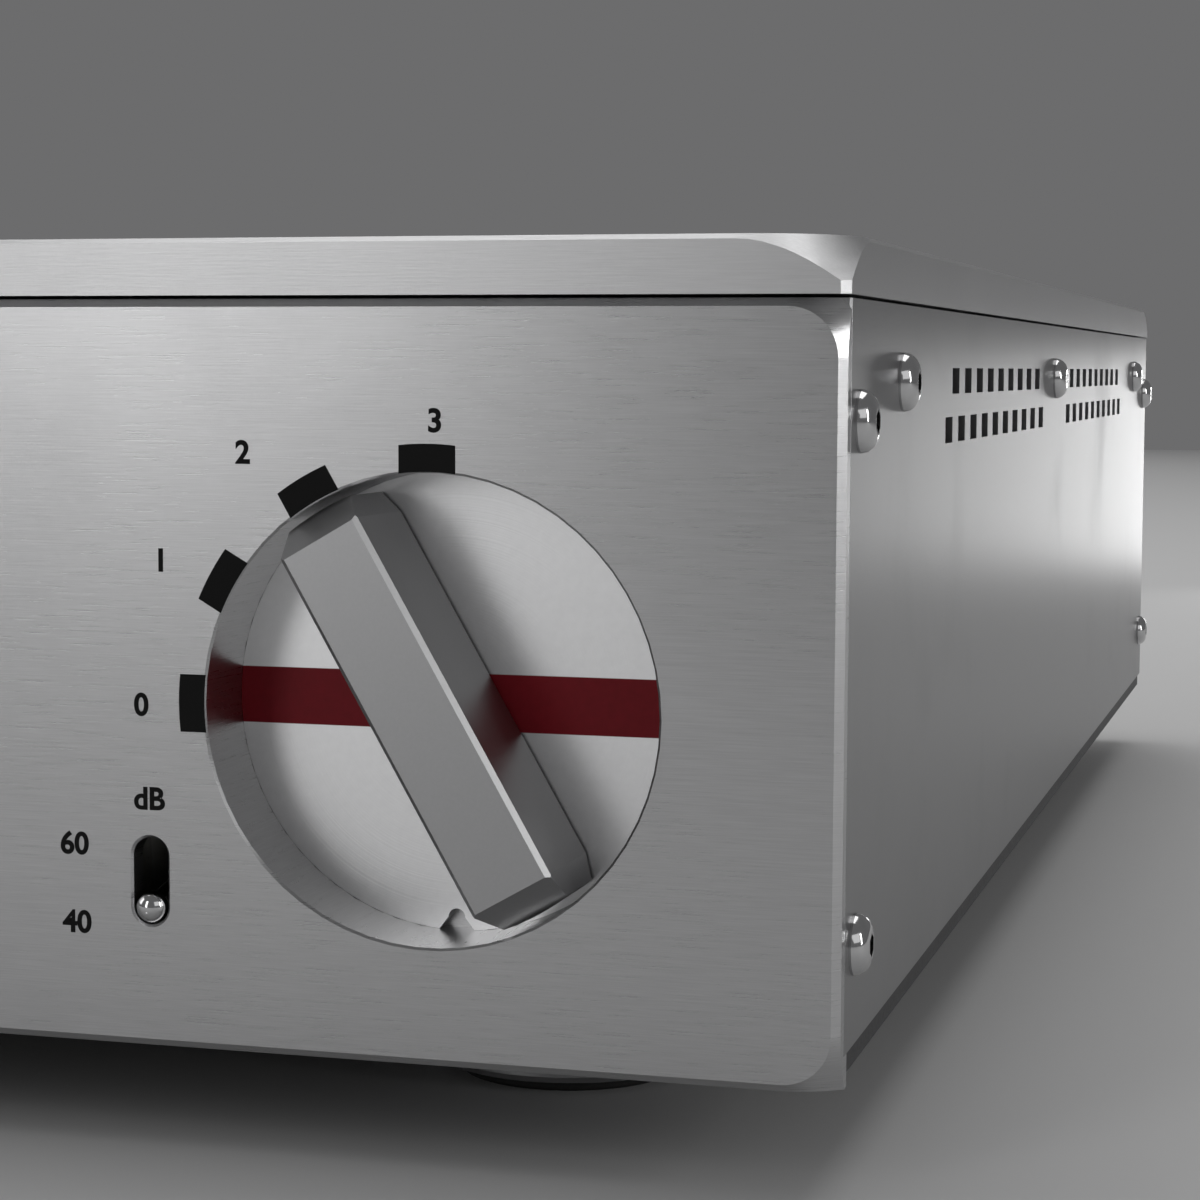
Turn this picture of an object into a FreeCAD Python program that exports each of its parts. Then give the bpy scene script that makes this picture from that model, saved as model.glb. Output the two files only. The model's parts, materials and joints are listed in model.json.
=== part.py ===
import FreeCAD, Part
import Sketcher
import math
import os
import re

# Phono preamp: a flat aluminium case with a round dish in its front, in which a bar handle turns.
# Millimetres. +X is the right side seen from the front, +Y the rear, +Z up.
# The origin is at the bottom centre of the whole object's box, on the surface that the feet stand on.

doc = FreeCAD.newDocument("PhonoPreamp")
sheet = doc.addObject("Spreadsheet::Sheet", "dims")
V = FreeCAD.Vector

# Driving dimensions: alias, value, meaning. Heights are above the front panel's lower edge,
# depths are behind the panel's front face, and widths are from the object's middle, unless said.
DIMENSIONS = [
    ("bodyWidth", 430, "outside of one side panel to the other"),
    ("bodyDepth", 440, "front face to rear face"),
    ("bodyHeight", 101, "front panel's lower edge to the top cover's top"),
    ("footHeight", 14, "floor to the front panel's lower edge"),
    ("rearReach", 14, "how far the earth post stands out behind"),
    ("lidHeight", 7, "top cover thickness"),
    ("lidGap", 0.4, "dark joint under the top cover"),
    ("lidOverhang", 0.3, "top cover beyond each side panel"),
    ("lidBevel", 0.6, "top edge bevel of the top cover"),
    ("lidCorner", 13, "plan radius of that bevel at the corners"),
    ("lidPostBevel", 1.1, "upright corner bevel of the top cover"),
    ("panelThickness", 15, "front panel plate"),
    ("panelLip", 3, "front panel in front of the side panels"),
    ("panelLedge", 5, "front panel in front of the bottom plate"),
    ("panelBevel", 1, "bevel round the front face"),
    ("panelCorner", 6, "radius of the front face's corners inside the bevel"),
    ("sideThickness", 3, "side and rear panel plate"),
    ("sideBevel", 0.3, "bevel on a side panel's front edge"),
    ("sideRise", 4.1, "side panel's lower edge"),
    ("plateThickness", 3, "bottom plate"),
    ("plateInset", 0.5, "bottom plate behind the side faces"),
    ("ventLength", 7, "vent slot along the depth"),
    ("ventHeight", 3.7, "vent slot height"),
    ("ventPitch", 12.8, "vent slot spacing"),
    ("ventMiddle", 138.9, "depth of the front group's middle"),
    ("ventLow", 76.7, "height of the lower row"),
    ("ventHigh", 83.7, "height of the upper row"),
    ("ventLowCount", 10, "slots in a lower row"),
    ("ventHighCount", 9, "slots in an upper row"),
    ("bottomVentLength", 60, "bottom plate slot"),
    ("bottomVentPitch", 14, "bottom plate slot spacing"),
    ("bottomVentCount", 9, "bottom plate slots"),
    ("screwRadius", 2, "M4 shank"),
    ("screwHole", 2.05, "hole for an M4 shank"),
    ("headRadius", 3.8, "M4 button head"),
    ("headHeight", 2.2, "M4 button head height"),
    ("socketWidth", 2.5, "hexagon socket across flats"),
    ("socketDepth", 1.3, "hexagon socket depth"),
    ("screwLength", 10, "M4 shank length"),
    ("smallRadius", 1.5, "M3 shank"),
    ("smallHole", 1.55, "hole for an M3 shank"),
    ("smallHead", 2.8, "M3 pan head radius"),
    ("smallHeadHeight", 2, "M3 pan head height"),
    ("endScrewDepth", 9, "front pair behind the front, and rear pair before the rear"),
    ("endScrewHigh", 79.2, "upper end screws"),
    ("endScrewLow", 16.5, "lower end screws"),
    ("coverScrewDepth", 40, "outer cover screws from front and rear"),
    ("coverScrewHigh", 83.7, "cover screws"),
    ("blockWidth", 12, "cover block and rear post, across"),
    ("blockLength", 24, "cover block along the depth"),
    ("blockHeight", 16, "cover block"),
    ("dialInset", 51, "dial axis from the right side face"),
    ("dialHeight", 43.7, "dial axis"),
    ("dialRadius", 29, "dish"),
    ("dialDepth", 11.5, "front face to the dish floor"),
    ("dialBevel", 0.3, "dish rim"),
    ("discThickness", 2, "dial disc"),
    ("discGap", 0.05, "dial disc to the dish wall"),
    ("notchReach", 26.2, "dial axis to the top of the notch"),
    ("notchRadius", 1.1, "rounded top of the notch"),
    ("notchFoot", 2.4, "half width of the notch at the wall"),
    ("barWidth", 11.2, "selector bar"),
    ("barNose", 9.2, "selector bar across its round ends"),
    ("barRadius", 27.9, "selector bar's round ends"),
    ("barFace", 24.2, "dial axis to where the bar's face ends and its sides draw in"),
    ("barSlopeRun", 3.3, "end slope of the bar, along it"),
    ("barSlopeDrop", 5, "end slope of the bar, in depth"),
    ("barEdge", 0.6, "bevel on the bar's long front edges"),
    ("barReach", 5, "bar's face in front of the panel"),
    ("barGap", 0.5, "bar's back above the dish floor"),
    ("barAngle", 120, "bar's pointing angle, from +X over the top"),
    ("barBore", 13, "depth of the bar's shaft bore"),
    ("shaftRadius", 2.98, "selector shaft"),
    ("shaftBore", 3.02, "bore that holds the shaft"),
    ("shaftRun", 3.05, "bore that the shaft turns in"),
    ("shaftEnd", 60, "depth of the shaft's rear end"),
    ("shaftHole", 3.5, "shaft hole in the dish"),
    ("bracketDepth", 25, "front of the selector bracket's plate"),
    ("bracketPlate", 2, "bracket sheet"),
    ("bracketHalf", 42, "selector bracket half width"),
    ("bracketTall", 22, "selector bracket height"),
    ("legWidth", 12, "bracket leg across"),
    ("bushRadius", 4.5, "selector bush"),
    ("bushHole", 4.55, "hole for the selector bush"),
    ("housingRadius", 13, "detent housing"),
    ("housingLength", 10, "detent housing"),
    ("waferRadius", 15, "switch wafer"),
    ("waferThickness", 1.5, "switch wafer"),
    ("waferHole", 6.4, "hole that a rotor turns in"),
    ("waferFront", 45, "depth of the front wafer"),
    ("waferRear", 53, "depth of the rear wafer"),
    ("rotorRadius", 6, "switch rotor"),
    ("rotorLength", 3, "switch rotor"),
    ("rodOffset", 11, "tie rod from the shaft"),
    ("slotWidth", 4.7, "gain slot"),
    ("slotLength", 11.1, "gain slot"),
    ("slotShift", 36.6, "gain slot left of the dial axis"),
    ("slotDrop", 22.65, "gain slot below the dial axis"),
    ("slotBevel", 0.3, "gain slot rim"),
    ("leverPivot", 16, "depth of the gain lever's pivot"),
    ("leverLength", 15.6, "pivot to the lever's round tip"),
    ("leverTip", 2.05, "lever tip radius"),
    ("leverBall", 2.4, "lever ball radius"),
    ("leverNeck", 1.2, "lever rod radius"),
    ("leverTail", 3.5, "lever behind its pivot"),
    ("leverTilt", 12.3, "lever below the level at rest"),
    ("gainBush", 3, "gain switch bush"),
    ("gainBore", 2.6, "gain switch bush bore"),
    ("gainFront", 13, "depth of the bush's mouth"),
    ("gainPlate", 20, "depth of the gain bracket's plate"),
    ("gainBack", 22, "depth of the gain switch's case"),
    ("gainCaseWidth", 8, "gain switch's case across"),
    ("gainCaseHeight", 13, "gain switch's case"),
    ("gainCaseDepth", 10, "gain switch's case"),
    ("gainTag", 4, "gain switch's solder tags, standing out of its case"),
    ("gainNut", 4.6, "gain switch's nut, to its corners"),
    ("gainNutHeight", 2, "gain switch's nut"),
    ("gainPlateHalf", 15, "gain bracket, half its length"),
    ("gainFoot", 6, "gain bracket's feet across, and half its height"),
    ("pocketHalfWidth", 8, "gain pocket behind the panel"),
    ("pocketHalfHeight", 12, "gain pocket behind the panel"),
    ("boardRise", 8, "boards above the bottom plate"),
    ("boardThickness", 1.6, "circuit board"),
    ("footRadius", 20, "foot"),
    ("padRadius", 16, "rubber pad"),
    ("padHeight", 4, "rubber pad"),
    ("padReach", 2, "rubber pad below the foot"),
    ("padHole", 5, "hole in the rubber pad"),
    ("footSpread", 165, "foot from the middle"),
    ("footInset", 60, "foot from the front and the rear"),
    ("jackBarrel", 4.15, "socket barrel radius"),
    ("jackReach", 10, "socket barrel behind the rear panel"),
    ("jackDepth", 14, "socket body behind the rear panel's face"),
    ("jackRecess", 1.5, "socket barrel's end to its insulator and contact"),
    ("jackNut", 6.6, "socket nut, to its corners"),
    ("jackNutHeight", 2.5, "socket nut"),
    ("jackFlange", 6.5, "socket flange radius"),
    ("jackFlangeHeight", 2, "socket flange"),
    ("jackBody", 4.35, "socket body radius"),
    ("jackHole", 4.4, "hole for a socket"),
    ("jackBore", 3.6, "bore for the insulator"),
    ("contactRadius", 2.05, "centre contact"),
    ("contactBore", 1.6, "hole for a plug's pin"),
    ("contactDepth", 14, "depth of that hole"),
    ("jackHigh", 62, "left channel sockets"),
    ("jackLow", 38, "right channel sockets"),
    ("inputOne", 178, "first input's sockets"),
    ("inputTwo", 138, "second input's sockets"),
    ("output", 62, "output sockets"),
    ("earthAcross", 158, "earth post"),
    ("earthHigh", 18, "earth post"),
    ("earthRadius", 2, "earth post stud"),
    ("earthBore", 2.06, "bore that runs on the stud"),
    ("earthCollar", 3, "collar length"),
    ("earthFlange", 4.5, "earth post's collar and its washer"),
    ("earthNut", 5.2, "earth thumb nut"),
    ("earthNutHeight", 7, "earth thumb nut"),
    ("inletAcross", 150, "mains inlet left of the middle, seen from the front"),
    ("inletHigh", 48, "mains inlet's middle"),
    ("inletWidth", 30, "mains inlet body"),
    ("inletTall", 42, "mains inlet body"),
    ("inletDeep", 22, "mains inlet body"),
    ("flangeWidth", 50, "mains inlet flange"),
    ("flangeTall", 46, "mains inlet flange"),
    ("flangeHeight", 2, "mains inlet flange"),
    ("cavityWidth", 24.4, "mains socket cavity"),
    ("cavityTall", 16.4, "mains socket cavity"),
    ("cavityDeep", 17, "mains socket cavity"),
    ("cavityRise", 9.5, "cavity above the inlet's middle"),
    ("drawerWidth", 24, "fuse drawer"),
    ("drawerTall", 8.4, "fuse drawer"),
    ("drawerDeep", 17, "fuse drawer inside the inlet"),
    ("drawerReach", 3, "fuse drawer's lip in front of the flange"),
    ("drawerDrop", 12, "fuse drawer below the inlet's middle"),
    ("drawerGap", 0.3, "fuse drawer to its slot"),
    ("transformerAcross", 130, "transformer left of the middle"),
    ("transformerDepth", 115, "transformer axis"),
    ("transformerRadius", 46, "transformer"),
    ("transformerHole", 16, "transformer hole"),
    ("transformerTall", 40, "transformer"),
    ("leadRadius", 2, "leads inside the case"),
]

for row, (alias, number, meaning) in enumerate(DIMENSIONS, start=1):
    sheet.set("A%d" % row, meaning)
    sheet.set("B%d" % row, str(number))
    sheet.setAlias("B%d" % row, alias)
doc.recompute()

size = {alias: float(sheet.get(alias)) for alias, number, meaning in DIMENSIONS}

# Places that many pieces share, as texts for expressions
frontY = "(-(bodyDepth + rearReach - barReach) / 2)"
rearY = "(%s + bodyDepth)" % frontY
sideX = "(bodyWidth / 2)"
innerX = "(bodyWidth / 2 - sideThickness)"
panelTop = "(footHeight + bodyHeight - lidHeight - lidGap)"
lidBottom = "(footHeight + bodyHeight - lidHeight)"
plateTop = "(footHeight + sideRise)"
dialX = "(bodyWidth / 2 - dialInset)"
dialZ = "(footHeight + dialHeight)"
gainX = "(bodyWidth / 2 - dialInset - slotShift)"
gainZ = "(footHeight + dialHeight - slotDrop)"
boardZ = "(footHeight + sideRise + boardRise)"
inletZ = "(footHeight + inletHigh)"
barBack = "(%s + dialDepth - barGap)" % frontY

pieces = []


def bound(text):
    """An expression text with every alias pointing into the sheet."""
    return re.sub(r"[A-Za-z]\w*", lambda word: "dims." + word[0] if word[0] in size else word[0], str(text))


def bind(thing, **texts):
    for name, text in texts.items():
        thing.setExpression(name, bound(text))
    return thing


def put(thing, x, y, z):
    """Bind a thing's place."""
    for name, text in (("x", x), ("y", y), ("z", z)):
        thing.setExpression("Placement.Base." + name, bound(text))
    return thing


TURNS = {"X": (V(0, 1, 0), 90), "Y": (V(-1, 0, 0), 90), "-X": (V(0, -1, 0), 90), "-Y": (V(1, 0, 0), 90)}


def box(x, y, z, length, width, height, name="Block"):
    thing = bind(doc.addObject("Part::Box", name), Length=length, Width=width, Height=height)
    return put(thing, x, y, z)


def cylinder(x, y, z, radius, height, along="Z", name="Round"):
    thing = bind(doc.addObject("Part::Cylinder", name), Radius=radius, Height=height)
    if along in TURNS:
        thing.Placement = FreeCAD.Placement(V(), FreeCAD.Rotation(*TURNS[along]))
    return put(thing, x, y, z)


def cone(x, y, z, radius1, radius2, height, along="Z"):
    thing = bind(doc.addObject("Part::Cone", "Cone"), Radius1=radius1, Radius2=radius2, Height=height)
    if along in TURNS:
        thing.Placement = FreeCAD.Placement(V(), FreeCAD.Rotation(*TURNS[along]))
    return put(thing, x, y, z)


def hexagon(x, y, z, radius, height, along="Z"):
    thing = bind(doc.addObject("Part::Prism", "Hexagon"), Circumradius=radius, Height=height)
    thing.Polygon = 6
    if along in TURNS:
        thing.Placement = FreeCAD.Placement(V(), FreeCAD.Rotation(*TURNS[along]))
    return put(thing, x, y, z)


def fuse(*things):
    joined = doc.addObject("Part::MultiFuse", "Joined")
    joined.Shapes = list(things)
    joined.Refine = True
    return joined


def cut(base, *tools):
    thing = doc.addObject("Part::Cut", "Cut")
    thing.Base = base
    thing.Tool = tools[0] if len(tools) == 1 else fuse(*tools)
    return thing


def common(one, other):
    thing = doc.addObject("Part::Common", "Common")
    thing.Base = one
    thing.Tool = other
    return thing


def piece(label, thing):
    """Name a finished piece and keep it for the files."""
    thing.Label = label
    pieces.append(thing)
    return thing


def group(label, shapes):
    """A piece made of equal solids, or one that its own function shapes."""
    thing = doc.addObject("Part::Feature", label)
    thing.Shape = shapes[0] if len(shapes) == 1 else Part.makeCompound(shapes)
    return piece(label, thing)


def placed(shape, x, y, z, along="Z"):
    copy = shape.copy()
    rotation = FreeCAD.Rotation(*TURNS[along]) if along in TURNS else FreeCAD.Rotation()
    copy.Placement = FreeCAD.Placement(V(x, y, z), rotation).multiply(shape.Placement)
    return copy


def fix(sketch, geo, point, x, y):
    """Bind a sketch point to a place measured from the sketch's origin."""
    now = sketch.getPoint(geo, point)
    for kind, value, text in (("DistanceX", now.x, x), ("DistanceY", now.y, y)):
        number = sketch.addConstraint(Sketcher.Constraint(kind, -1, 1, geo, point, value))
        sketch.setExpression("Constraints[%d]" % number, bound(text))


def rounded(sketch, width, height, radius):
    """A rectangle with round corners, centred on the sketch's origin."""
    w, t, r = 50.0, 40.0, 5.0
    corners = [(w - r, r - t, -90), (w - r, t - r, 0), (r - w, t - r, 90), (r - w, r - t, 180)]
    arcs = []
    for cx, cy, start in corners:
        circle = Part.Circle(V(cx, cy, 0), V(0, 0, 1), r)
        arcs.append(sketch.addGeometry(
            Part.ArcOfCircle(circle, math.radians(start), math.radians(start + 90))))
    sides = []
    for here in range(4):
        ahead = (here + 1) % 4
        begin = sketch.getPoint(arcs[here], 2)
        end = sketch.getPoint(arcs[ahead], 1)
        sides.append(sketch.addGeometry(Part.LineSegment(begin, end)))
    for here in range(4):
        ahead = (here + 1) % 4
        sketch.addConstraint(Sketcher.Constraint("Tangent", arcs[here], 2, sides[here], 1))
        sketch.addConstraint(Sketcher.Constraint("Tangent", sides[here], 2, arcs[ahead], 1))
    for arc in arcs[1:]:
        sketch.addConstraint(Sketcher.Constraint("Equal", arcs[0], arc))
    for here, way in enumerate(("Vertical", "Horizontal", "Vertical", "Horizontal")):
        sketch.addConstraint(Sketcher.Constraint(way, sides[here]))
    number = sketch.addConstraint(Sketcher.Constraint("Radius", arcs[0], r))
    sketch.setExpression("Constraints[%d]" % number, bound(radius))
    half_width = "((%s) / 2 - (%s))" % (width, radius)
    half_height = "((%s) / 2 - (%s))" % (height, radius)
    fix(sketch, arcs[1], 3, half_width, half_height)
    fix(sketch, arcs[3], 3, "-" + half_width, "-" + half_height)


def tapered(sketch, direction, length, angle):
    """Grow a closed sketch along a direction, opening or closing at an angle."""
    thing = doc.addObject("Part::Extrusion", "Tapered")
    thing.Base = sketch
    thing.DirMode = "Custom"
    thing.Dir = direction
    thing.Solid = True
    thing.TaperAngle = angle
    return bind(thing, LengthFwd=length)


def free_sketch(axis, angle, x, y, z):
    sketch = doc.addObject("Sketcher::SketchObject", "Outline")
    sketch.Placement = FreeCAD.Placement(V(), FreeCAD.Rotation(axis, angle))
    return put(sketch, x, y, z)


def body_of(name, x, y, z):
    body = doc.addObject("PartDesign::Body", name)
    return put(body, x, y, z)


def body_sketch(body, role, offset=None):
    """A sketch on one of a body's own planes, moved along the plane's normal."""
    sketch = body.newObject("Sketcher::SketchObject", "Sketch")
    plane = [item for item in body.Origin.OriginFeatures if item.Role == role][0]
    sketch.AttachmentSupport = [(plane, "")]
    sketch.MapMode = "FlatFace"
    if offset:
        sketch.setExpression("AttachmentOffset.Base.z", bound(offset))
    return sketch


def rectangle(sketch, x1, y1, x2, y2):
    corners = [V(0, 0, 0), V(10, 0, 0), V(10, 10, 0), V(0, 10, 0)]
    lines = []
    for here in range(4):
        lines.append(sketch.addGeometry(Part.LineSegment(corners[here], corners[(here + 1) % 4])))
    for here in range(4):
        sketch.addConstraint(Sketcher.Constraint("Coincident", lines[here], 2, lines[(here + 1) % 4], 1))
    for here, way in enumerate(("Horizontal", "Vertical", "Horizontal", "Vertical")):
        sketch.addConstraint(Sketcher.Constraint(way, lines[here]))
    fix(sketch, lines[0], 1, x1, y1)
    fix(sketch, lines[2], 1, x2, y2)
    return lines


def circle(sketch, x, y, radius):
    ring = sketch.addGeometry(Part.Circle(V(0, 0, 0), V(0, 0, 1), 2.0))
    fix(sketch, ring, 3, x, y)
    number = sketch.addConstraint(Sketcher.Constraint("Radius", ring, 2.0))
    sketch.setExpression("Constraints[%d]" % number, bound(radius))
    return ring


def grow(body, sketch, length, back=False):
    pad = body.newObject("PartDesign::Pad", "Pad")
    pad.Profile = sketch
    pad.Reversed = back
    return bind(pad, Length=length)


def sink(body, sketch, length, back=False):
    pocket = body.newObject("PartDesign::Pocket", "Pocket")
    pocket.Profile = sketch
    pocket.Reversed = back
    return bind(pocket, Length=length)


def row_of(body, feature, sketch, axis, pitch, count):
    """Repeat a pocket along a sketch axis."""
    pattern = body.newObject("PartDesign::LinearPattern", "Row")
    pattern.Originals = [feature]
    pattern.Direction = (sketch, [axis])
    bind(pattern, Length="(%s) * ((%s) - 1)" % (pitch, count), Occurrences=count)
    body.Tip = pattern
    return pattern


# Plain numbers for the pieces that their own functions shape
def number_of(width=0.0, depth=None, rear=None, high=None):
    """A place in plain numbers: across, depth behind the front or the rear face, height."""
    front = -(size["bodyDepth"] + size["rearReach"] - size["barReach"]) / 2
    y = front + depth if depth is not None else front + size["bodyDepth"] + (rear or 0.0)
    z = size["footHeight"] + high if high is not None else 0.0
    return width, y, z


# Front panel
def front_panel():
    height = "(bodyHeight - lidHeight - lidGap)"
    blank = box("-" + sideX, frontY, "footHeight", "bodyWidth", "panelThickness", height)
    outline = free_sketch(V(1, 0, 0), 90, 0, frontY, "footHeight + %s / 2" % height)
    rounded(outline, "bodyWidth - 2 * panelBevel", height + " - 2 * panelBevel", "panelCorner")
    face = tapered(outline, V(0, 1, 0), "panelThickness", 45)
    plate = common(blank, face)

    tools = []
    for x in (innerX, "(-%s)" % sideX):
        tools.append(box(x, frontY + "+ panelLip", plateTop, "sideThickness", "panelThickness", height))
    tools.append(box("-" + sideX, frontY + "+ panelLedge", "footHeight - 1",
                     "bodyWidth", "panelThickness", "sideRise + 1"))
    tools.append(cylinder(dialX, frontY + "- 1", dialZ, "dialRadius", "dialDepth + discThickness + 1", "Y"))
    tools.append(cone(dialX, frontY, dialZ, "dialRadius + dialBevel", "dialRadius", "dialBevel", "Y"))
    tools.append(cylinder(dialX, frontY, dialZ, "shaftHole", "panelThickness + 1", "Y"))
    reach = "((slotLength - slotWidth) / 2)"
    tools.append(box(gainX + "- slotWidth / 2", frontY, gainZ + "-" + reach,
                     "slotWidth", "panelThickness", "2 * " + reach))
    for z in (gainZ + "-" + reach, gainZ + "+" + reach):
        tools.append(cylinder(gainX, frontY, z, "slotWidth / 2", "panelThickness", "Y"))
        tools.append(cone(gainX, frontY, z, "slotWidth / 2 + slotBevel", "slotWidth / 2", "slotBevel", "Y"))
    tools.append(slot_rim(reach))
    tools.append(box(gainX + "- pocketHalfWidth", frontY + "+ panelLip", gainZ + "- pocketHalfHeight",
                     "2 * pocketHalfWidth", "panelThickness", "2 * pocketHalfHeight"))
    for side, along in ((innerX, "-X"), ("(-%s)" % innerX, "X")):
        for high in ("endScrewHigh", "endScrewLow"):
            tools.append(cylinder(side, frontY + "+ endScrewDepth", "footHeight + " + high,
                                  "screwHole", "screwLength", along))
    for x in PANEL_FEET:
        tools.append(cylinder(x, frontY + "+ panelLedge + 5", plateTop, "screwHole", "screwLength"))
    for x, z in BRACKET_SCREWS:
        tools.append(cylinder(x, frontY + "+ panelThickness - 6", z, "smallHole", 7, "Y"))
    piece("front_panel", cut(plate, *tools))


def slot_rim(reach):
    """The straight part of the slot's bevelled rim: a trapezium drawn from above and grown upward."""
    sketch = free_sketch(V(0, 0, 1), 0, gainX, frontY, gainZ + "-" + reach)
    points = [V(-3, 0, 0), V(3, 0, 0), V(2, 1, 0), V(-2, 1, 0)]
    lines = [sketch.addGeometry(Part.LineSegment(points[here], points[(here + 1) % 4])) for here in range(4)]
    for here in range(4):
        sketch.addConstraint(Sketcher.Constraint("Coincident", lines[here], 2, lines[(here + 1) % 4], 1))
    half = "slotWidth / 2"
    fix(sketch, lines[0], 1, "-(%s + slotBevel)" % half, 0)
    fix(sketch, lines[1], 1, half + "+ slotBevel", 0)
    fix(sketch, lines[2], 1, half, "slotBevel")
    fix(sketch, lines[3], 1, "-%s" % half, "slotBevel")
    return tapered(sketch, V(0, 0, 1), "2 * " + reach, 0)


# Where the bottom plate's screws meet the front panel, and the brackets' screws meet its back
PANEL_FEET = [-190, -60, 70]
BRACKET_SCREWS = [(dialX + "- bracketHalf + legWidth / 2", dialZ), (dialX + "+ bracketHalf - legWidth / 2", dialZ),
                  (gainX + "- legWidth", gainZ), (gainX + "+ legWidth", gainZ)]


# Top cover
def top_cover():
    blank = box("-%s - lidOverhang" % sideX, frontY, lidBottom,
                "bodyWidth + 2 * lidOverhang", "bodyDepth", "lidHeight")
    doc.recompute()
    upright = []
    for index, edge in enumerate(blank.Shape.Edges, start=1):
        if abs(edge.tangentAt(edge.FirstParameter).z) > 0.9:
            upright.append((index, size["lidPostBevel"], size["lidPostBevel"]))
    slab = doc.addObject("Part::Chamfer", "Slab")
    slab.Base = blank
    slab.Edges = upright
    outline = free_sketch(V(1, 0, 0), 0, 0, frontY + "+ bodyDepth / 2", lidBottom + "+ lidHeight")
    rounded(outline, "bodyWidth + 2 * (lidOverhang - lidBevel)", "bodyDepth - 2 * lidBevel", "lidCorner")
    crown = tapered(outline, V(0, 0, -1), "lidHeight", 45)
    tools = []
    for x, y in block_places():
        tools.append(cylinder(x, y + "+ blockLength * 0.3", lidBottom, "screwHole", 4.5))
    piece("top_cover", cut(common(slab, crown), *tools))


def block_places():
    """Across and depth of each cover screw."""
    places = []
    for across in ("(%s - blockWidth / 2)" % innerX, "(-(%s - blockWidth / 2))" % innerX):
        for depth in ("coverScrewDepth", "bodyDepth / 2", "(bodyDepth - coverScrewDepth)"):
            places.append((across, frontY + "+" + depth))
    return places


# Side panels
def side_panel(label, side):
    """A plate with its vents. side is 1 on the right and -1 on the left."""
    x = sideX if side > 0 else "(-%s + sideThickness)" % sideX
    body = body_of(label, x, frontY, "footHeight")
    plate = body_sketch(body, "YZ_Plane")
    rectangle(plate, "panelLip", "sideRise", "bodyDepth", "bodyHeight - lidHeight - lidGap")
    grow(body, plate, "sideThickness", back=True)
    for row, count in (("ventLow", "ventLowCount"), ("ventHigh", "ventHighCount")):
        for middle in ("ventMiddle", "(bodyDepth - ventMiddle)"):
            start = "(%s - ventPitch * (%s - 1) / 2)" % (middle, count)
            vent = body_sketch(body, "YZ_Plane")
            rectangle(vent, start + "- ventLength / 2", row + "- ventHeight / 2",
                      start + "+ ventLength / 2", row + "+ ventHeight / 2")
            slot = sink(body, vent, "sideThickness")
            row_of(body, slot, vent, "H_Axis", "ventPitch", count)
    holes = body_sketch(body, "YZ_Plane")
    for high in ("endScrewHigh", "endScrewLow"):
        for depth in ("endScrewDepth", "bodyDepth - endScrewDepth"):
            circle(holes, depth, high, "screwHole")
    for depth in ("coverScrewDepth", "bodyDepth / 2", "bodyDepth - coverScrewDepth"):
        circle(holes, depth, "coverScrewHigh", "screwHole")
    sink(body, holes, "sideThickness")
    doc.recompute()
    outside = size["bodyWidth"] / 2 * (1 if side > 0 else -1)
    edges = []
    for index, edge in enumerate(body.Shape.Edges, start=1):
        middle = edge.BoundBox.Center
        at_front = abs(middle.y - number_of(depth=size["panelLip"])[1]) < 0.01
        if at_front and abs(middle.x - outside) < 0.01 and edge.BoundBox.ZLength > 10:
            edges.append("Edge%d" % index)
    last = body.Tip
    bevel = body.newObject("PartDesign::Chamfer", "Bevel")
    bevel.Base = (last, edges)
    bind(bevel, Size="sideBevel")
    piece(label, body)


# Bottom plate
def bottom_plate():
    body = body_of("bottom_plate", 0, frontY, "footHeight + sideRise")
    plate = body_sketch(body, "XY_Plane")
    half = "(bodyWidth / 2 - plateInset)"
    rectangle(plate, "-" + half, "panelLedge", half, "bodyDepth - plateInset")
    grow(body, plate, "plateThickness", back=True)
    holes = body_sketch(body, "XY_Plane")
    for x in PANEL_FEET:
        circle(holes, x, "panelLedge + 5", "screwHole")
    for x in ("%s - blockWidth / 2", "-(%s - blockWidth / 2)"):
        circle(holes, x % innerX, "bodyDepth - sideThickness - blockWidth / 2", "screwHole")
    for x in ("footSpread", "-footSpread"):
        for y in ("footInset", "bodyDepth - footInset"):
            circle(holes, x, y, "screwHole")
    circle(holes, "-transformerAcross", "transformerDepth", 3.1)
    sink(body, holes, "plateThickness")
    doc.recompute()
    corners = []
    last = body.Tip
    for index, edge in enumerate(last.Shape.Edges, start=1):
        middle, reach = edge.BoundBox.Center, edge.BoundBox.XLength / 2
        low_rim = middle.z < -size["plateThickness"] + 0.01 and abs(reach - size["screwHole"]) < 0.01
        corner = abs(middle.y) < size["panelLedge"] + 6 or middle.y > size["bodyDepth"] - 12
        if low_rim and corner:
            corners.append("Edge%d" % index)
    sunk = body.newObject("PartDesign::Chamfer", "Countersinks")
    sunk.Base = (last, corners)
    bind(sunk, Size="headRadius - screwRadius")
    for start in (-20, 170):
        vent = body_sketch(body, "XY_Plane")
        rectangle(vent, -56, "140 + %d" % start, "-56 + 4", "140 + bottomVentLength + %d" % start)
        slot = sink(body, vent, "plateThickness")
        row_of(body, slot, vent, "H_Axis", "bottomVentPitch", "bottomVentCount")
    piece("bottom_plate", body)


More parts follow.
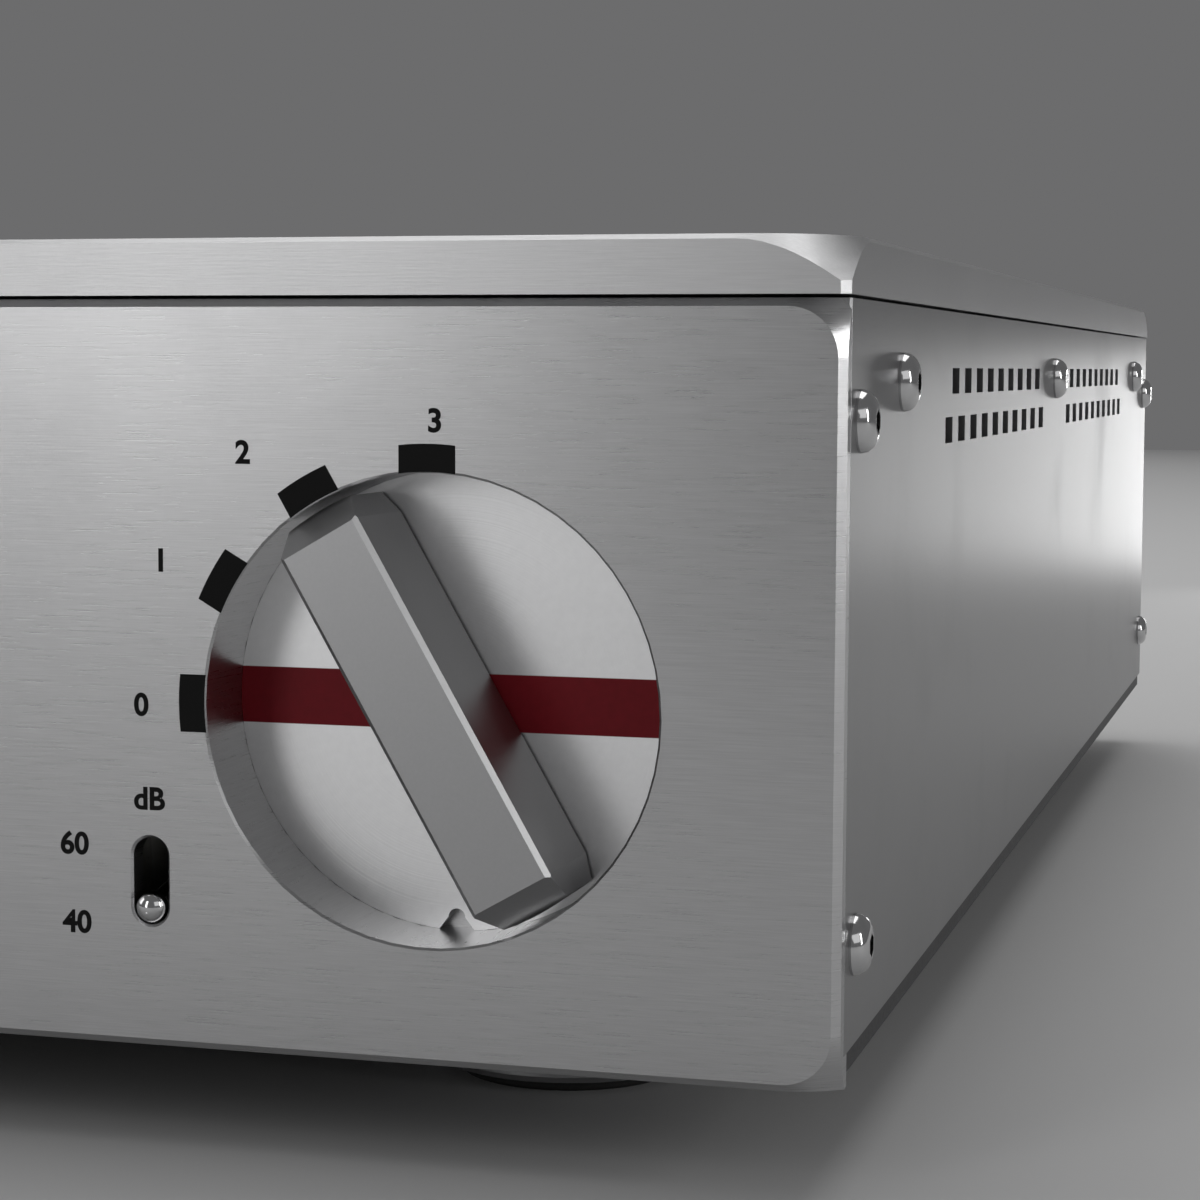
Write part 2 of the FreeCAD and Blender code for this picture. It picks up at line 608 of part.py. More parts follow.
# Rear panel, with a hole for each thing that it carries
def rear_panel():
    body = body_of("rear_panel", 0, rearY, "footHeight")
    plate = body_sketch(body, "XZ_Plane")
    rectangle(plate, "-" + innerX, "sideRise", innerX, "bodyHeight - lidHeight - lidGap")
    grow(body, plate, "sideThickness")
    holes = body_sketch(body, "XZ_Plane")
    for x in ("inputOne", "inputTwo", "output"):
        for z in ("jackHigh", "jackLow"):
            circle(holes, x, z, "jackHole")
    circle(holes, "earthAcross", "earthHigh", "screwHole")
    for x in ("(%s - blockWidth / 2)", "(-(%s - blockWidth / 2))"):
        for z in REAR_SCREWS:
            circle(holes, x % innerX, z, "screwHole")
    for x in INLET_SCREWS:
        circle(holes, x, "inletHigh", "screwHole")
    rectangle(holes, "-inletAcross - inletWidth / 2 - 0.2", "inletHigh - inletTall / 2 - 0.2",
              "-inletAcross + inletWidth / 2 + 0.2", "inletHigh + inletTall / 2 + 0.2")
    sink(body, holes, "sideThickness", back=True)
    piece("rear_panel", body)


REAR_SCREWS = [32, 62]
INLET_SCREWS = ["(-inletAcross - 20)", "(-inletAcross + 20)"]


# Rear corner posts
def rear_post(label, side):
    x = "(%s - blockWidth)" % innerX if side > 0 else "(-%s)" % innerX
    axis = "(%s - blockWidth / 2)" % innerX if side > 0 else "(-(%s - blockWidth / 2))" % innerX
    wall = innerX if side > 0 else "(-%s)" % innerX
    back = rearY + "- sideThickness"
    post = box(x, back + "- blockWidth", plateTop, "blockWidth", "blockWidth", panelTop + "-" + plateTop)
    tools = []
    for high in ("endScrewHigh", "endScrewLow"):
        tools.append(cylinder(wall, rearY + "- endScrewDepth", "footHeight + " + high,
                              "screwHole", "screwLength - 2", "-X" if side > 0 else "X"))
    for high in REAR_SCREWS:
        tools.append(cylinder(axis, back, "footHeight + %d" % high, "screwHole", "screwLength - 2", "-Y"))
    tools.append(cylinder(axis, back + "- blockWidth / 2", plateTop, "screwHole", 8))
    piece(label, cut(post, *tools))


# Blocks that the cover stands on and is held by
def cover_blocks():
    half = size["blockWidth"] / 2
    block = Part.makeBox(size["blockWidth"], size["blockLength"], size["blockHeight"],
                         V(-half, -size["blockLength"] / 3, -size["blockHeight"]))
    level = size["coverScrewHigh"] - (size["bodyHeight"] - size["lidHeight"])
    across = Part.makeCylinder(size["screwHole"], 2 * half, V(-half, 0, level), V(1, 0, 0))
    upright = Part.makeCylinder(size["screwHole"], size["blockHeight"],
                                V(0, 0.3 * size["blockLength"], -size["blockHeight"]))
    block = block.cut([across, upright])
    group("cover_blocks", [placed(block, *place) for place in block_numbers()])


def block_numbers():
    reach = size["bodyWidth"] / 2 - size["sideThickness"] - size["blockWidth"] / 2
    depths = (size["coverScrewDepth"], size["bodyDepth"] / 2, size["bodyDepth"] - size["coverScrewDepth"])
    high = size["bodyHeight"] - size["lidHeight"]
    return [number_of(side * reach, depth=depth, high=high) for side in (1, -1) for depth in depths]


# Screws
def button_screw(length):
    """A domed socket screw: its head stands up from the origin and its shank goes down."""
    shank, head, tall = size["screwRadius"], size["headRadius"], size["headHeight"]
    rim, flat = 0.35, 1.7
    bulge = Part.Arc(V(head, 0, rim), V(head * 0.83, 0, tall * 0.72), V(flat, 0, tall)).toShape()
    points = [V(flat, 0, tall), V(0, 0, tall), V(0, 0, -length), V(shank, 0, -length), V(shank, 0, 0),
              V(head, 0, 0), V(head, 0, rim)]
    edges = [Part.makeLine(one, two) for one, two in zip(points, points[1:])]
    turned = Part.Face(Part.Wire(Part.__sortEdges__([bulge] + edges))).revolve(V(), V(0, 0, 1), 360)
    socket = hexagonal(size["socketWidth"] / math.sqrt(3), size["socketDepth"] + 1)
    socket.translate(V(0, 0, tall - size["socketDepth"]))
    return Part.makeSolid(turned).cut(socket)


def hexagonal(radius, height):
    corners = [V(radius * math.cos(math.radians(60 * k)), radius * math.sin(math.radians(60 * k)), 0)
               for k in range(7)]
    return Part.Face(Part.makePolygon(corners)).extrude(V(0, 0, height))


def pan_screw(shank, head, tall, length):
    body = Part.makeCylinder(shank, length, V(0, 0, -length))
    return body.fuse(Part.makeCylinder(head, tall)).removeSplitter()


def flat_screw(shank, head, length):
    """A countersunk screw whose head is flush with the origin's plane."""
    tall = head - shank
    body = Part.makeCylinder(shank, length, V(0, 0, -length))
    return body.fuse(Part.makeCone(shank, head, tall, V(0, 0, -tall))).removeSplitter()


def side_screws():
    screw = button_screw(size["screwLength"])
    face = size["bodyWidth"] / 2
    ends, covers = [], []
    for side, along in ((1, "X"), (-1, "-X")):
        for depth in (size["endScrewDepth"], size["bodyDepth"] - size["endScrewDepth"]):
            for high in (size["endScrewHigh"], size["endScrewLow"]):
                ends.append(placed(screw, *number_of(side * face, depth=depth, high=high), along))
        across, _, high = number_of(side * face, high=size["coverScrewHigh"])
        for block in block_numbers()[:3]:
            covers.append(placed(screw, across, block[1], high, along))
    group("side_end_screws", ends)
    group("side_cover_screws", covers)


def hidden_screws():
    lift = pan_screw(size["screwRadius"], size["headRadius"], size["headHeight"], size["blockHeight"] + 4)
    lift.rotate(V(), V(1, 0, 0), 180)
    low = size["blockHeight"]
    places_up = [placed(lift, x, y + 0.3 * size["blockLength"], z - low) for x, y, z in block_numbers()]

    screw = button_screw(size["screwLength"])
    post = size["bodyWidth"] / 2 - size["sideThickness"] - size["blockWidth"] / 2
    rear = [placed(screw, *number_of(side * post, rear=0.0, high=high), "Y")
            for side in (1, -1) for high in REAR_SCREWS]
    small = button_screw(size["screwLength"] - 2)
    for shift in (-20, 20):
        rear.append(placed(small, *number_of(shift - size["inletAcross"], rear=size["flangeHeight"],
                                             high=size["inletHigh"]), "Y"))
    group("rear_screws", rear)

    up = flat_screw(size["screwRadius"], size["headRadius"], size["screwLength"])
    up.rotate(V(), V(1, 0, 0), 180)
    low = size["sideRise"] - size["plateThickness"]
    places = [number_of(x, depth=size["panelLedge"] + 5, high=low) for x in PANEL_FEET]
    for side in (1, -1):
        places.append(number_of(side * post, rear=-size["sideThickness"] - size["blockWidth"] / 2, high=low))
    group("frame_screws", places_up + [placed(up, *place) for place in places])


# Feet
def feet():
    for side, way in ((-1, "left"), (1, "right")):
        for place, depth in (("front", "footInset"), ("rear", "(bodyDepth - footInset)")):
            x = "footSpread * %d" % side
            y = frontY + "+" + depth
            top = "(footHeight + sideRise - plateThickness)"
            turned = cylinder(x, y, "padReach", "footRadius", top + "- padReach")
            doc.recompute()
            edges = []
            for index, edge in enumerate(turned.Shape.Edges, start=1):
                if len(edge.Vertexes) == 1:
                    edges.append((index, 1.0, 1.0))
            bevelled = doc.addObject("Part::Chamfer", "Bevelled")
            bevelled.Base = turned
            bevelled.Edges = edges
            tools = [cylinder(x, y, "padReach", "padRadius + 0.2", "padHeight - padReach"),
                     cylinder(x, y, "padHeight", "padHole - 0.8", "padHole"),
                     cylinder(x, y, "padHeight", "screwHole + 0.1", "footHeight")]
            piece("foot_%s_%s" % (place, way), cut(bevelled, *tools))


def foot_pads():
    ring = Part.makeCylinder(size["padRadius"], size["padHeight"])
    ring = ring.cut(Part.makeCylinder(size["padHole"], size["padHeight"]))
    rounding = [edge for edge in ring.Edges if edge.BoundBox.XLength > 2 * size["padRadius"] - 0.1
                and edge.BoundBox.ZMax < 0.1 and len(edge.Vertexes) == 1]
    ring = ring.makeChamfer(0.5, rounding)
    places = []
    for x in (-size["footSpread"], size["footSpread"]):
        for depth in (size["footInset"], size["bodyDepth"] - size["footInset"]):
            places.append(number_of(x, depth=depth))
    group("foot_pads", [placed(ring, *place) for place in places])
    reach = size["footHeight"] + size["sideRise"] - size["padHeight"] - size["padHole"]
    screw = pan_screw(size["screwRadius"], size["headRadius"], size["headHeight"], reach)
    screw.rotate(V(), V(1, 0, 0), 180)
    high = size["padHeight"] + size["padHole"]
    group("foot_screws", [placed(screw, x, y, z + high) for x, y, z in places])


# Dish floor
def dial_disc():
    body = body_of("dial_disc", dialX, frontY + "+ dialDepth + discThickness", dialZ)
    floor = body_sketch(body, "XZ_Plane")
    circle(floor, 0, 0, "dialRadius - discGap")
    circle(floor, 0, 0, "shaftHole")
    grow(body, floor, "discThickness")
    notch = body_sketch(body, "XZ_Plane")
    foot, reach, round_top, wall = (size[name] for name in
                                    ("notchFoot", "notchReach", "notchRadius", "dialRadius"))
    shoulder = -(reach + round_top)
    points = [V(-round_top, shoulder, 0), V(-foot, -wall, 0), V(foot, -wall, 0), V(round_top, shoulder, 0)]
    lines = [notch.addGeometry(Part.LineSegment(one, two)) for one, two in zip(points, points[1:])]
    arch = notch.addGeometry(Part.ArcOfCircle(Part.Circle(V(0, shoulder, 0), V(0, 0, 1), round_top),
                                              0, math.pi))
    for one, two in zip(lines, lines[1:]):
        notch.addConstraint(Sketcher.Constraint("Coincident", one, 2, two, 1))
    notch.addConstraint(Sketcher.Constraint("Coincident", lines[2], 2, arch, 1))
    notch.addConstraint(Sketcher.Constraint("Coincident", arch, 2, lines[0], 1))
    fix(notch, lines[0], 2, "-notchFoot", "-dialRadius")
    fix(notch, lines[1], 2, "notchFoot", "-dialRadius")
    fix(notch, arch, 3, 0, "-(notchReach + notchRadius)")
    number = notch.addConstraint(Sketcher.Constraint("Radius", arch, round_top))
    notch.setExpression("Constraints[%d]" % number, bound("notchRadius"))
    for end in (1, 2):
        number = notch.addConstraint(Sketcher.Constraint("DistanceY", -1, 1, arch, end, shoulder))
        notch.setExpression("Constraints[%d]" % number, bound("-(notchReach + notchRadius)"))
    sink(body, notch, "discThickness", back=True)
    piece("dial_disc", body)


# Selector bar: a strip that draws in to round ends, its face sloping back at each end, turned to where it points
def selector_bar():
    body = body_of("selector_bar", dialX, frontY + "- barReach", dialZ)
    body.Placement.Rotation = FreeCAD.Rotation(V(0, -1, 0), 1)
    body.setExpression("Placement.Rotation.Angle", bound("barAngle"))
    thick = "(barReach + dialDepth - barGap)"
    strip = body_sketch(body, "XZ_Plane")
    half, nose, reach, shoulder = (size["barWidth"] / 2, size["barNose"] / 2, size["barRadius"],
                                   size["barFace"])
    tip = math.sqrt(reach ** 2 - nose ** 2)
    texts = {half: "barWidth / 2", nose: "barNose / 2", shoulder: "barFace",
             tip: "sqrt(barRadius ^ 2 - (barNose / 2) ^ 2)"}
    corners = [(tip, nose), (shoulder, half), (-shoulder, half), (-tip, nose),
               (-tip, -nose), (-shoulder, -half), (shoulder, -half), (tip, -nose)]
    outline = []
    for here, (x, y) in enumerate(corners):
        ahead = corners[(here + 1) % 8]
        if here in (3, 7):
            swing = math.asin(nose / reach)
            middle = math.pi if here == 3 else 0.0
            whole = Part.Circle(V(0, 0, 0), V(0, 0, 1), reach)
            outline.append(strip.addGeometry(Part.ArcOfCircle(whole, middle - swing, middle + swing)))
        else:
            outline.append(strip.addGeometry(Part.LineSegment(V(x, y, 0), V(*ahead, 0))))
    for here in range(8):
        strip.addConstraint(Sketcher.Constraint("Coincident", outline[here], 2, outline[(here + 1) % 8], 1))
    for here, (x, y) in enumerate(corners):
        sign_x, sign_y = "-" if x < 0 else "", "-" if y < 0 else ""
        fix(strip, outline[here], 1, "%s(%s)" % (sign_x, texts[abs(x)]), "%s(%s)" % (sign_y, texts[abs(y)]))
    for here in (3, 7):
        number = strip.addConstraint(Sketcher.Constraint("Radius", outline[here], reach))
        strip.setExpression("Constraints[%d]" % number, bound("barRadius"))
    blank = grow(body, strip, thick, back=True)
    doc.recompute()

    long_edges = []
    for index, edge in enumerate(blank.Shape.Edges, start=1):
        if edge.BoundBox.YMax < 0.01 and edge.BoundBox.ZLength < 0.01 and len(edge.Vertexes) == 2:
            long_edges.append("Edge%d" % index)
    bevel = body.newObject("PartDesign::Chamfer", "Bevel")
    bevel.Base = (blank, long_edges)
    bind(bevel, Size="barEdge")

    slope = body_sketch(body, "XY_Plane", "-barWidth / 2")
    for way in ("", "-"):
        wedge = [("barFace", 0), ("barRadius + 1", 0),
                 ("barRadius + 1", "(barRadius + 1 - barFace) * barSlopeDrop / barSlopeRun")]
        sign = -1 if way else 1
        starts = [V(sign * 20, 0, 0), V(sign * 30, 0, 0), V(sign * 30, 10, 0)]
        lines = [slope.addGeometry(Part.LineSegment(starts[k], starts[(k + 1) % 3])) for k in range(3)]
        for k in range(3):
            slope.addConstraint(Sketcher.Constraint("Coincident", lines[k], 2, lines[(k + 1) % 3], 1))
            x, y = wedge[k]
            fix(slope, lines[k], 1, "%s(%s)" % (way, x), y)
    sink(body, slope, "barWidth", back=True)

    bore = body_sketch(body, "XZ_Plane", "-" + thick)
    circle(bore, 0, 0, "shaftBore")
    sink(body, bore, "barBore", back=True)
    screw = body_sketch(body, "XY_Plane")
    circle(screw, 0, thick + "- barBore / 2", "smallHole")
    sink(body, screw, "barWidth", back=True)
    piece("selector_bar", body)


def selector_shaft():
    start = barBack + "- barBore"
    piece("selector_shaft", cylinder(dialX, start, dialZ, "shaftRadius",
                                     frontY + "+ shaftEnd - (%s)" % start, "Y"))
    grub = bind(doc.addObject("Part::Cylinder", "Grub"), Radius="smallRadius", Height="barWidth / 2 - shaftBore - 0.4")
    grub.Placement = FreeCAD.Placement(V(), FreeCAD.Rotation(V(0, -1, 0), 1))
    grub.setExpression("Placement.Rotation.Angle", bound("barAngle"))
    across = "shaftBore * cos((barAngle + 90) * 1 deg)"
    rise = "shaftBore * sin((barAngle + 90) * 1 deg)"
    put(grub, dialX + "+" + across, barBack + "- barBore / 2", dialZ + "+" + rise)
    piece("selector_grub_screw", grub)

    rotor = Part.makeCylinder(size["rotorRadius"], size["rotorLength"])
    rotor = rotor.cut(Part.makeCylinder(size["shaftBore"], size["rotorLength"]))
    inset = (size["rotorLength"] - size["waferThickness"]) / 2
    across = size["bodyWidth"] / 2 - size["dialInset"]
    group("switch_rotors", [placed(rotor, *number_of(across, depth=size[wafer] - inset,
                                                     high=size["dialHeight"]), "Y")
                            for wafer in ("waferFront", "waferRear")])


# Selector switch, held behind the panel on its bracket
def selector_switch():
    plate = frontY + "+ bracketDepth"
    solids = [box(dialX + "- bracketHalf", plate, dialZ + "- bracketTall / 2",
                  "2 * bracketHalf", "bracketPlate", "bracketTall")]
    for x in (dialX + "- bracketHalf", dialX + "+ bracketHalf - legWidth"):
        solids.append(box(x, frontY + "+ panelThickness", dialZ + "- bracketTall / 2",
                          "legWidth", "bracketDepth - panelThickness", "bracketTall"))
    tools = [cylinder(dialX, plate, dialZ, "bushHole", "bracketPlate", "Y")]
    for x, z in BRACKET_SCREWS[:2]:
        tools.append(cylinder(x, frontY + "+ panelThickness", z, "smallHole", "bracketDepth", "Y"))
    piece("switch_bracket", cut(fuse(*solids), *tools))

    nut = hexagon(dialX, plate + "- 2.5", dialZ, 7, 2.5, "Y")
    piece("switch_nut", cut(nut, cylinder(dialX, plate + "- 2.5", dialZ, "bushHole", 2.5, "Y")))

    bush = cylinder(dialX, plate + "- 8", dialZ, "bushRadius", "8 + bracketPlate", "Y")
    drum = cylinder(dialX, plate + "+ bracketPlate", dialZ, "housingRadius", "housingLength", "Y")
    bore = cylinder(dialX, plate + "- 8", dialZ, "shaftRun", 30, "Y")
    piece("switch_housing", cut(fuse(bush, drum), bore))

    across = size["bodyWidth"] / 2 - size["dialInset"]
    disc = Part.makeCylinder(size["waferRadius"], size["waferThickness"])
    holes = [Part.makeCylinder(size["waferHole"], size["waferThickness"])]
    for shift in (size["rodOffset"], -size["rodOffset"]):
        holes.append(Part.makeCylinder(size["smallHole"], size["waferThickness"], V(0, shift, 0)))
    group("switch_wafers", [placed(disc.cut(holes), *number_of(across, depth=size[wafer], high=size["dialHeight"]),
                                   "Y") for wafer in ("waferFront", "waferRear")])

    start = size["bracketDepth"] + size["bracketPlate"] + size["housingLength"]
    stop = size["waferRear"] + size["waferThickness"]
    rod = Part.makeCylinder(size["smallRadius"], stop - start + 3)
    rod = rod.fuse(hexagonal(3.2, 2).translated(V(0, 0, stop - start))).removeSplitter()
    group("switch_tie_rods", [placed(rod, *number_of(across, depth=start, high=size["dialHeight"] + shift), "Y")
                              for shift in (size["rodOffset"], -size["rodOffset"])])


# Gain switch
def gain_lever():
    body = body_of("gain_lever", gainX, frontY + "+ leverPivot", gainZ)
    body.Placement.Rotation = FreeCAD.Rotation(V(1, 0, 0), 1)
    body.setExpression("Placement.Rotation.Angle", bound("90 + leverTilt"))
    profile = body_sketch(body, "XZ_Plane")
    neck, tail, ball, tip, reach = (size[name] for name in
                                    ("leverNeck", "leverTail", "leverBall", "leverTip", "leverLength"))
    ball_top = math.asin(neck / ball)
    tip_low = math.asin(neck / tip)
    ball_arc = profile.addGeometry(Part.ArcOfCircle(
        Part.Circle(V(0, 0, 0), V(0, 0, 1), ball), ball_top - math.pi / 2, math.pi / 2 - ball_top))
    tip_arc = profile.addGeometry(Part.ArcOfCircle(
        Part.Circle(V(0, reach, 0), V(0, 0, 1), tip), tip_low - math.pi / 2, math.pi / 2))
    chain = [V(0, reach + tip, 0), V(0, -tail, 0), V(neck, -tail, 0), profile.getPoint(ball_arc, 1)]
    lines = [profile.addGeometry(Part.LineSegment(one, two)) for one, two in zip(chain, chain[1:])]
    rod = profile.addGeometry(Part.LineSegment(profile.getPoint(ball_arc, 2), profile.getPoint(tip_arc, 1)))
    joints = [(tip_arc, 2, lines[0], 1), (lines[0], 2, lines[1], 1), (lines[1], 2, lines[2], 1),
              (lines[2], 2, ball_arc, 1), (ball_arc, 2, rod, 1), (rod, 2, tip_arc, 1)]
    for one, end, two, begin in joints:
        profile.addConstraint(Sketcher.Constraint("Coincident", one, end, two, begin))
    fix(profile, ball_arc, 3, 0, 0)
    fix(profile, tip_arc, 3, 0, "leverLength")
    fix(profile, lines[0], 2, 0, "-leverTail")
    fix(profile, lines[1], 2, "leverNeck", "-leverTail")
    for arc, text in ((ball_arc, "leverBall"), (tip_arc, "leverTip")):
        number = profile.addConstraint(Sketcher.Constraint("Radius", arc, size[text]))
        profile.setExpression("Constraints[%d]" % number, bound(text))
    profile.addConstraint(Sketcher.Constraint("Vertical", lines[2]))
    profile.addConstraint(Sketcher.Constraint("Vertical", rod))
    profile.addConstraint(Sketcher.Constraint("Vertical", lines[0]))
    number = profile.addConstraint(Sketcher.Constraint("DistanceX", -1, 1, rod, 1, neck))
    profile.setExpression("Constraints[%d]" % number, bound("leverNeck"))
    lever = body.newObject("PartDesign::Revolution", "Turned")
    lever.Profile = profile
    lever.ReferenceAxis = (profile, ["V_Axis"])
    lever.Angle = 360
    piece("gain_lever", body)


def gain_switch():
    case = box(gainX + "- gainCaseWidth / 2", frontY + "+ gainBack", gainZ + "- gainCaseHeight / 2",
               "gainCaseWidth", "gainCaseDepth", "gainCaseHeight")
    bush = cylinder(gainX, frontY + "+ gainFront", gainZ, "gainBush", "gainBack - gainFront", "Y")
    tags = [box(gainX + "- gainTag / 4", frontY + "+ gainBack + gainCaseDepth", gainZ + "%+g" % shift,
                "gainTag / 2", "gainTag", 1) for shift in (-5, -0.5, 4)]
    bore = cylinder(gainX, frontY + "+ gainFront", gainZ, "gainBore", "leverPivot - gainFront + leverTail + 0.6",
                    "Y")
    piece("gain_switch_body", cut(fuse(case, bush, *tags), bore))

    plate = frontY + "+ gainPlate"
    low, tall, thick = gainZ + "- gainFoot", "2 * gainFoot", "gainPlate - panelThickness"
    solids = [box(gainX + "- gainPlateHalf", plate, low, "2 * gainPlateHalf", "bracketPlate", tall)]
    for x in (gainX + "- gainPlateHalf", gainX + "+ gainPlateHalf - gainFoot"):
        solids.append(box(x, frontY + "+ panelThickness", low, "gainFoot", thick, tall))
    tools = [cylinder(gainX, plate, gainZ, "gainBush + 0.05", "bracketPlate", "Y")]
    for x, z in BRACKET_SCREWS[2:]:
        tools.append(cylinder(x, frontY + "+ panelThickness", z, "smallHole", 10, "Y"))
    piece("gain_switch_bracket", cut(fuse(*solids), *tools))

    near = plate + "- gainNutHeight"
    nut = hexagon(gainX, near, gainZ, "gainNut", "gainNutHeight", "Y")
    piece("gain_switch_nut", cut(nut, cylinder(gainX, near, gainZ, "gainBush + 0.05", "gainNutHeight", "Y")))


def bracket_screws():
    across = size["bodyWidth"] / 2 - size["dialInset"]
    reach = size["bracketHalf"] - size["legWidth"] / 2
    gain = across - size["slotShift"]
    low = size["dialHeight"] - size["slotDrop"]
    behind = size["bracketDepth"] + size["bracketPlate"]
    near = size["gainPlate"] + size["bracketPlate"]
    start = size["panelThickness"] - 5
    screws = []
    for x, z, back in ((across - reach, size["dialHeight"], behind), (across + reach, size["dialHeight"], behind),
                       (gain - size["legWidth"], low, near), (gain + size["legWidth"], low, near)):
        screw = pan_screw(size["smallRadius"], size["smallHead"], size["smallHeadHeight"], back - start)
        screws.append(placed(screw, *number_of(x, depth=back, high=z), "Y"))
    return screws


# Circuit boards and what stands on them: left edge, front edge, width, depth
BOARDS = {"power_board": (-195, 205, 120, 135), "main_board": (-45, 205, 235, 205)}
BOARD_INSET = 6


def boards():
    posts, screws = [], bracket_screws()
    top = size["sideRise"] + size["boardRise"] + size["boardThickness"]
    post = hexagonal(3.2, size["boardRise"]).cut(Part.makeCylinder(size["smallHole"], size["boardRise"]))
    screw = pan_screw(size["smallRadius"], size["smallHead"], size["smallHeadHeight"],
                      size["boardThickness"] + size["boardRise"] - 2)
    for label, (left, front, wide, deep) in BOARDS.items():
        sheet_of = box(left, "%s + %g" % (frontY, front), boardZ, wide, deep, "boardThickness")
        holes = []
        for x in (left + BOARD_INSET, left + wide - BOARD_INSET):
            for depth in (front + BOARD_INSET, front + deep - BOARD_INSET):
                holes.append(cylinder(x, "%s + %g" % (frontY, depth), boardZ, "smallHole", "boardThickness"))
                posts.append(placed(post, *number_of(x, depth=depth, high=size["sideRise"])))
                screws.append(placed(screw, *number_of(x, depth=depth, high=top)))
        piece(label, cut(sheet_of, *holes))
    group("board_standoffs", posts)
    group("inner_screws", screws)


def board_parts():
    top = size["sideRise"] + size["boardRise"] + size["boardThickness"]
    for label, left in (("phono_module_left", 100), ("phono_module_right", -20)):
        can = box(left, "%s + 320" % frontY, boardZ + "+ boardThickness", 80, 66, 30)
        doc.recompute()
        lid_edges = [(index, 2.0, 2.0) for index, edge in enumerate(can.Shape.Edges, start=1)
                     if edge.BoundBox.ZMin > can.Shape.BoundBox.ZMax - 0.01
                     or edge.BoundBox.ZLength > 20]
        shaped = doc.addObject("Part::Fillet", "Can")
        shaped.Base = can
        shaped.Edges = lid_edges
        piece(label, shaped)

    relay = Part.makeBox(20, 10, 11)
    group("input_relays", [placed(relay, *number_of(-10 + 35 * k, depth=285, high=top)) for k in range(5)])

    can = Part.makeCylinder(12.5, 36)
    can = can.makeFillet(1.5, [edge for edge in can.Edges if edge.BoundBox.ZMin > 35])
    group("filter_capacitors", [placed(can, *number_of(x, depth=depth, high=top))
                                for x in (-170, -140) for depth in (240, 270)])

    base = Part.makeBox(60, 4, 32)
    fins = [Part.makeBox(2, 16, 32, V(2 + 9 * k, 3, 0)) for k in range(7)]
    sink_shape = base.multiFuse(fins).removeSplitter()
    group("regulator_heatsink", [placed(sink_shape, *number_of(-185, depth=300, high=top))])


# Transformer: a taped ring held down by one bolt
def transformer():
    tall, hole, reach = size["transformerTall"], size["transformerHole"], size["transformerRadius"]
    ring = Part.makeCylinder(reach, tall).cut(Part.makeCylinder(hole, tall))
    ring = ring.makeFillet(7, [edge for edge in ring.Edges if len(edge.Vertexes) == 1])
    place = number_of(-size["transformerAcross"], depth=size["transformerDepth"], high=size["sideRise"])
    group("mains_transformer", [placed(ring, *place)])
    low = -size["plateThickness"]
    bolt = Part.makeCylinder(3, tall - low + 6, V(0, 0, low))
    bolt = bolt.multiFuse([Part.makeCylinder(30, 1.5, V(0, 0, tall)),
                           hexagonal(5.8, 5).translated(V(0, 0, tall + 1.5))]).removeSplitter()
    group("transformer_bolt", [placed(bolt, *place)])


# Rear sockets
def jacks():
    deep, reach = size["jackDepth"], size["jackReach"]
    shell = Part.makeCylinder(size["jackBody"], deep, V(0, 0, -deep))
    barrel = Part.makeCylinder(size["jackBarrel"], reach)
    flange = Part.makeCylinder(size["jackFlange"], size["jackFlangeHeight"])
    shell = shell.multiFuse([barrel, flange]).removeSplitter()
    shell = shell.cut(Part.makeCylinder(size["jackBore"], deep + reach, V(0, 0, -deep)))

    mouth = reach - size["jackRecess"]
    ring = Part.makeCylinder(size["jackBore"] - 0.05, deep + 2 + mouth, V(0, 0, -deep - 2))
    ring = ring.cut(Part.makeCylinder(size["contactRadius"] + 0.05, 2 * deep + mouth, V(0, 0, -2 * deep)))
    contact = Part.makeCylinder(size["contactRadius"], deep + 6 + mouth, V(0, 0, -deep - 6))
    contact = contact.cut(Part.makeCylinder(size["contactBore"], size["contactDepth"],
                                            V(0, 0, mouth - size["contactDepth"])))
    nut = hexagonal(size["jackNut"], size["jackNutHeight"])
    nut = nut.cut(Part.makeCylinder(size["jackHole"], size["jackNutHeight"]))

    places = [number_of(size[name], rear=0.0, high=size[high])
              for name in ("inputOne", "inputTwo", "output") for high in ("jackHigh", "jackLow")]
    group("jack_shells", [placed(shell, *place, "Y") for place in places])
    group("jack_insulators", [placed(ring, *place, "Y") for place in places])
    group("jack_contacts", [placed(contact, *place, "Y") for place in places])
    inside = -size["sideThickness"] - size["jackNutHeight"]
    group("jack_nuts", [placed(nut, x, y + inside, z, "Y") for x, y, z in places])


# Earth terminal: a post, a washer that only slides, and a thumb nut that turns
def earth_terminal():
    z = "(footHeight + earthHigh)"
    stud = cylinder("earthAcross", rearY + "- 12", z, "earthRadius", "12 + rearReach", "Y")
    collar = cylinder("earthAcross", rearY, z, "earthFlange", "earthCollar", "Y")
    lock = hexagon("earthAcross", rearY + "- sideThickness - 3", z, 4.4, 3, "Y")
    piece("earth_post", fuse(stud, collar, lock))

    start = rearY + "+ earthCollar + 0.1"
    washer = cylinder("earthAcross", start, z, "earthFlange", 1, "Y")
    piece("earth_washer", cut(washer, cylinder("earthAcross", start, z, "earthBore", 1, "Y")))

    radius, high = size["earthNut"], size["earthNutHeight"]
    nut = Part.makeCylinder(radius, high)
    nut = nut.makeChamfer(0.6, [edge for edge in nut.Edges if len(edge.Vertexes) == 1])
    turns = [math.radians(360 * k / 24) for k in range(24)]
    grooves = [Part.makeCylinder(0.35, high, V((radius + 0.1) * math.cos(a), (radius + 0.1) * math.sin(a), 0))
               for a in turns]
    nut = nut.cut(grooves + [Part.makeCylinder(size["earthBore"], high)])
    place = number_of(size["earthAcross"], rear=size["earthCollar"] + 1.2, high=size["earthHigh"])
    group("earth_nut", [placed(nut, *place, "Y")])


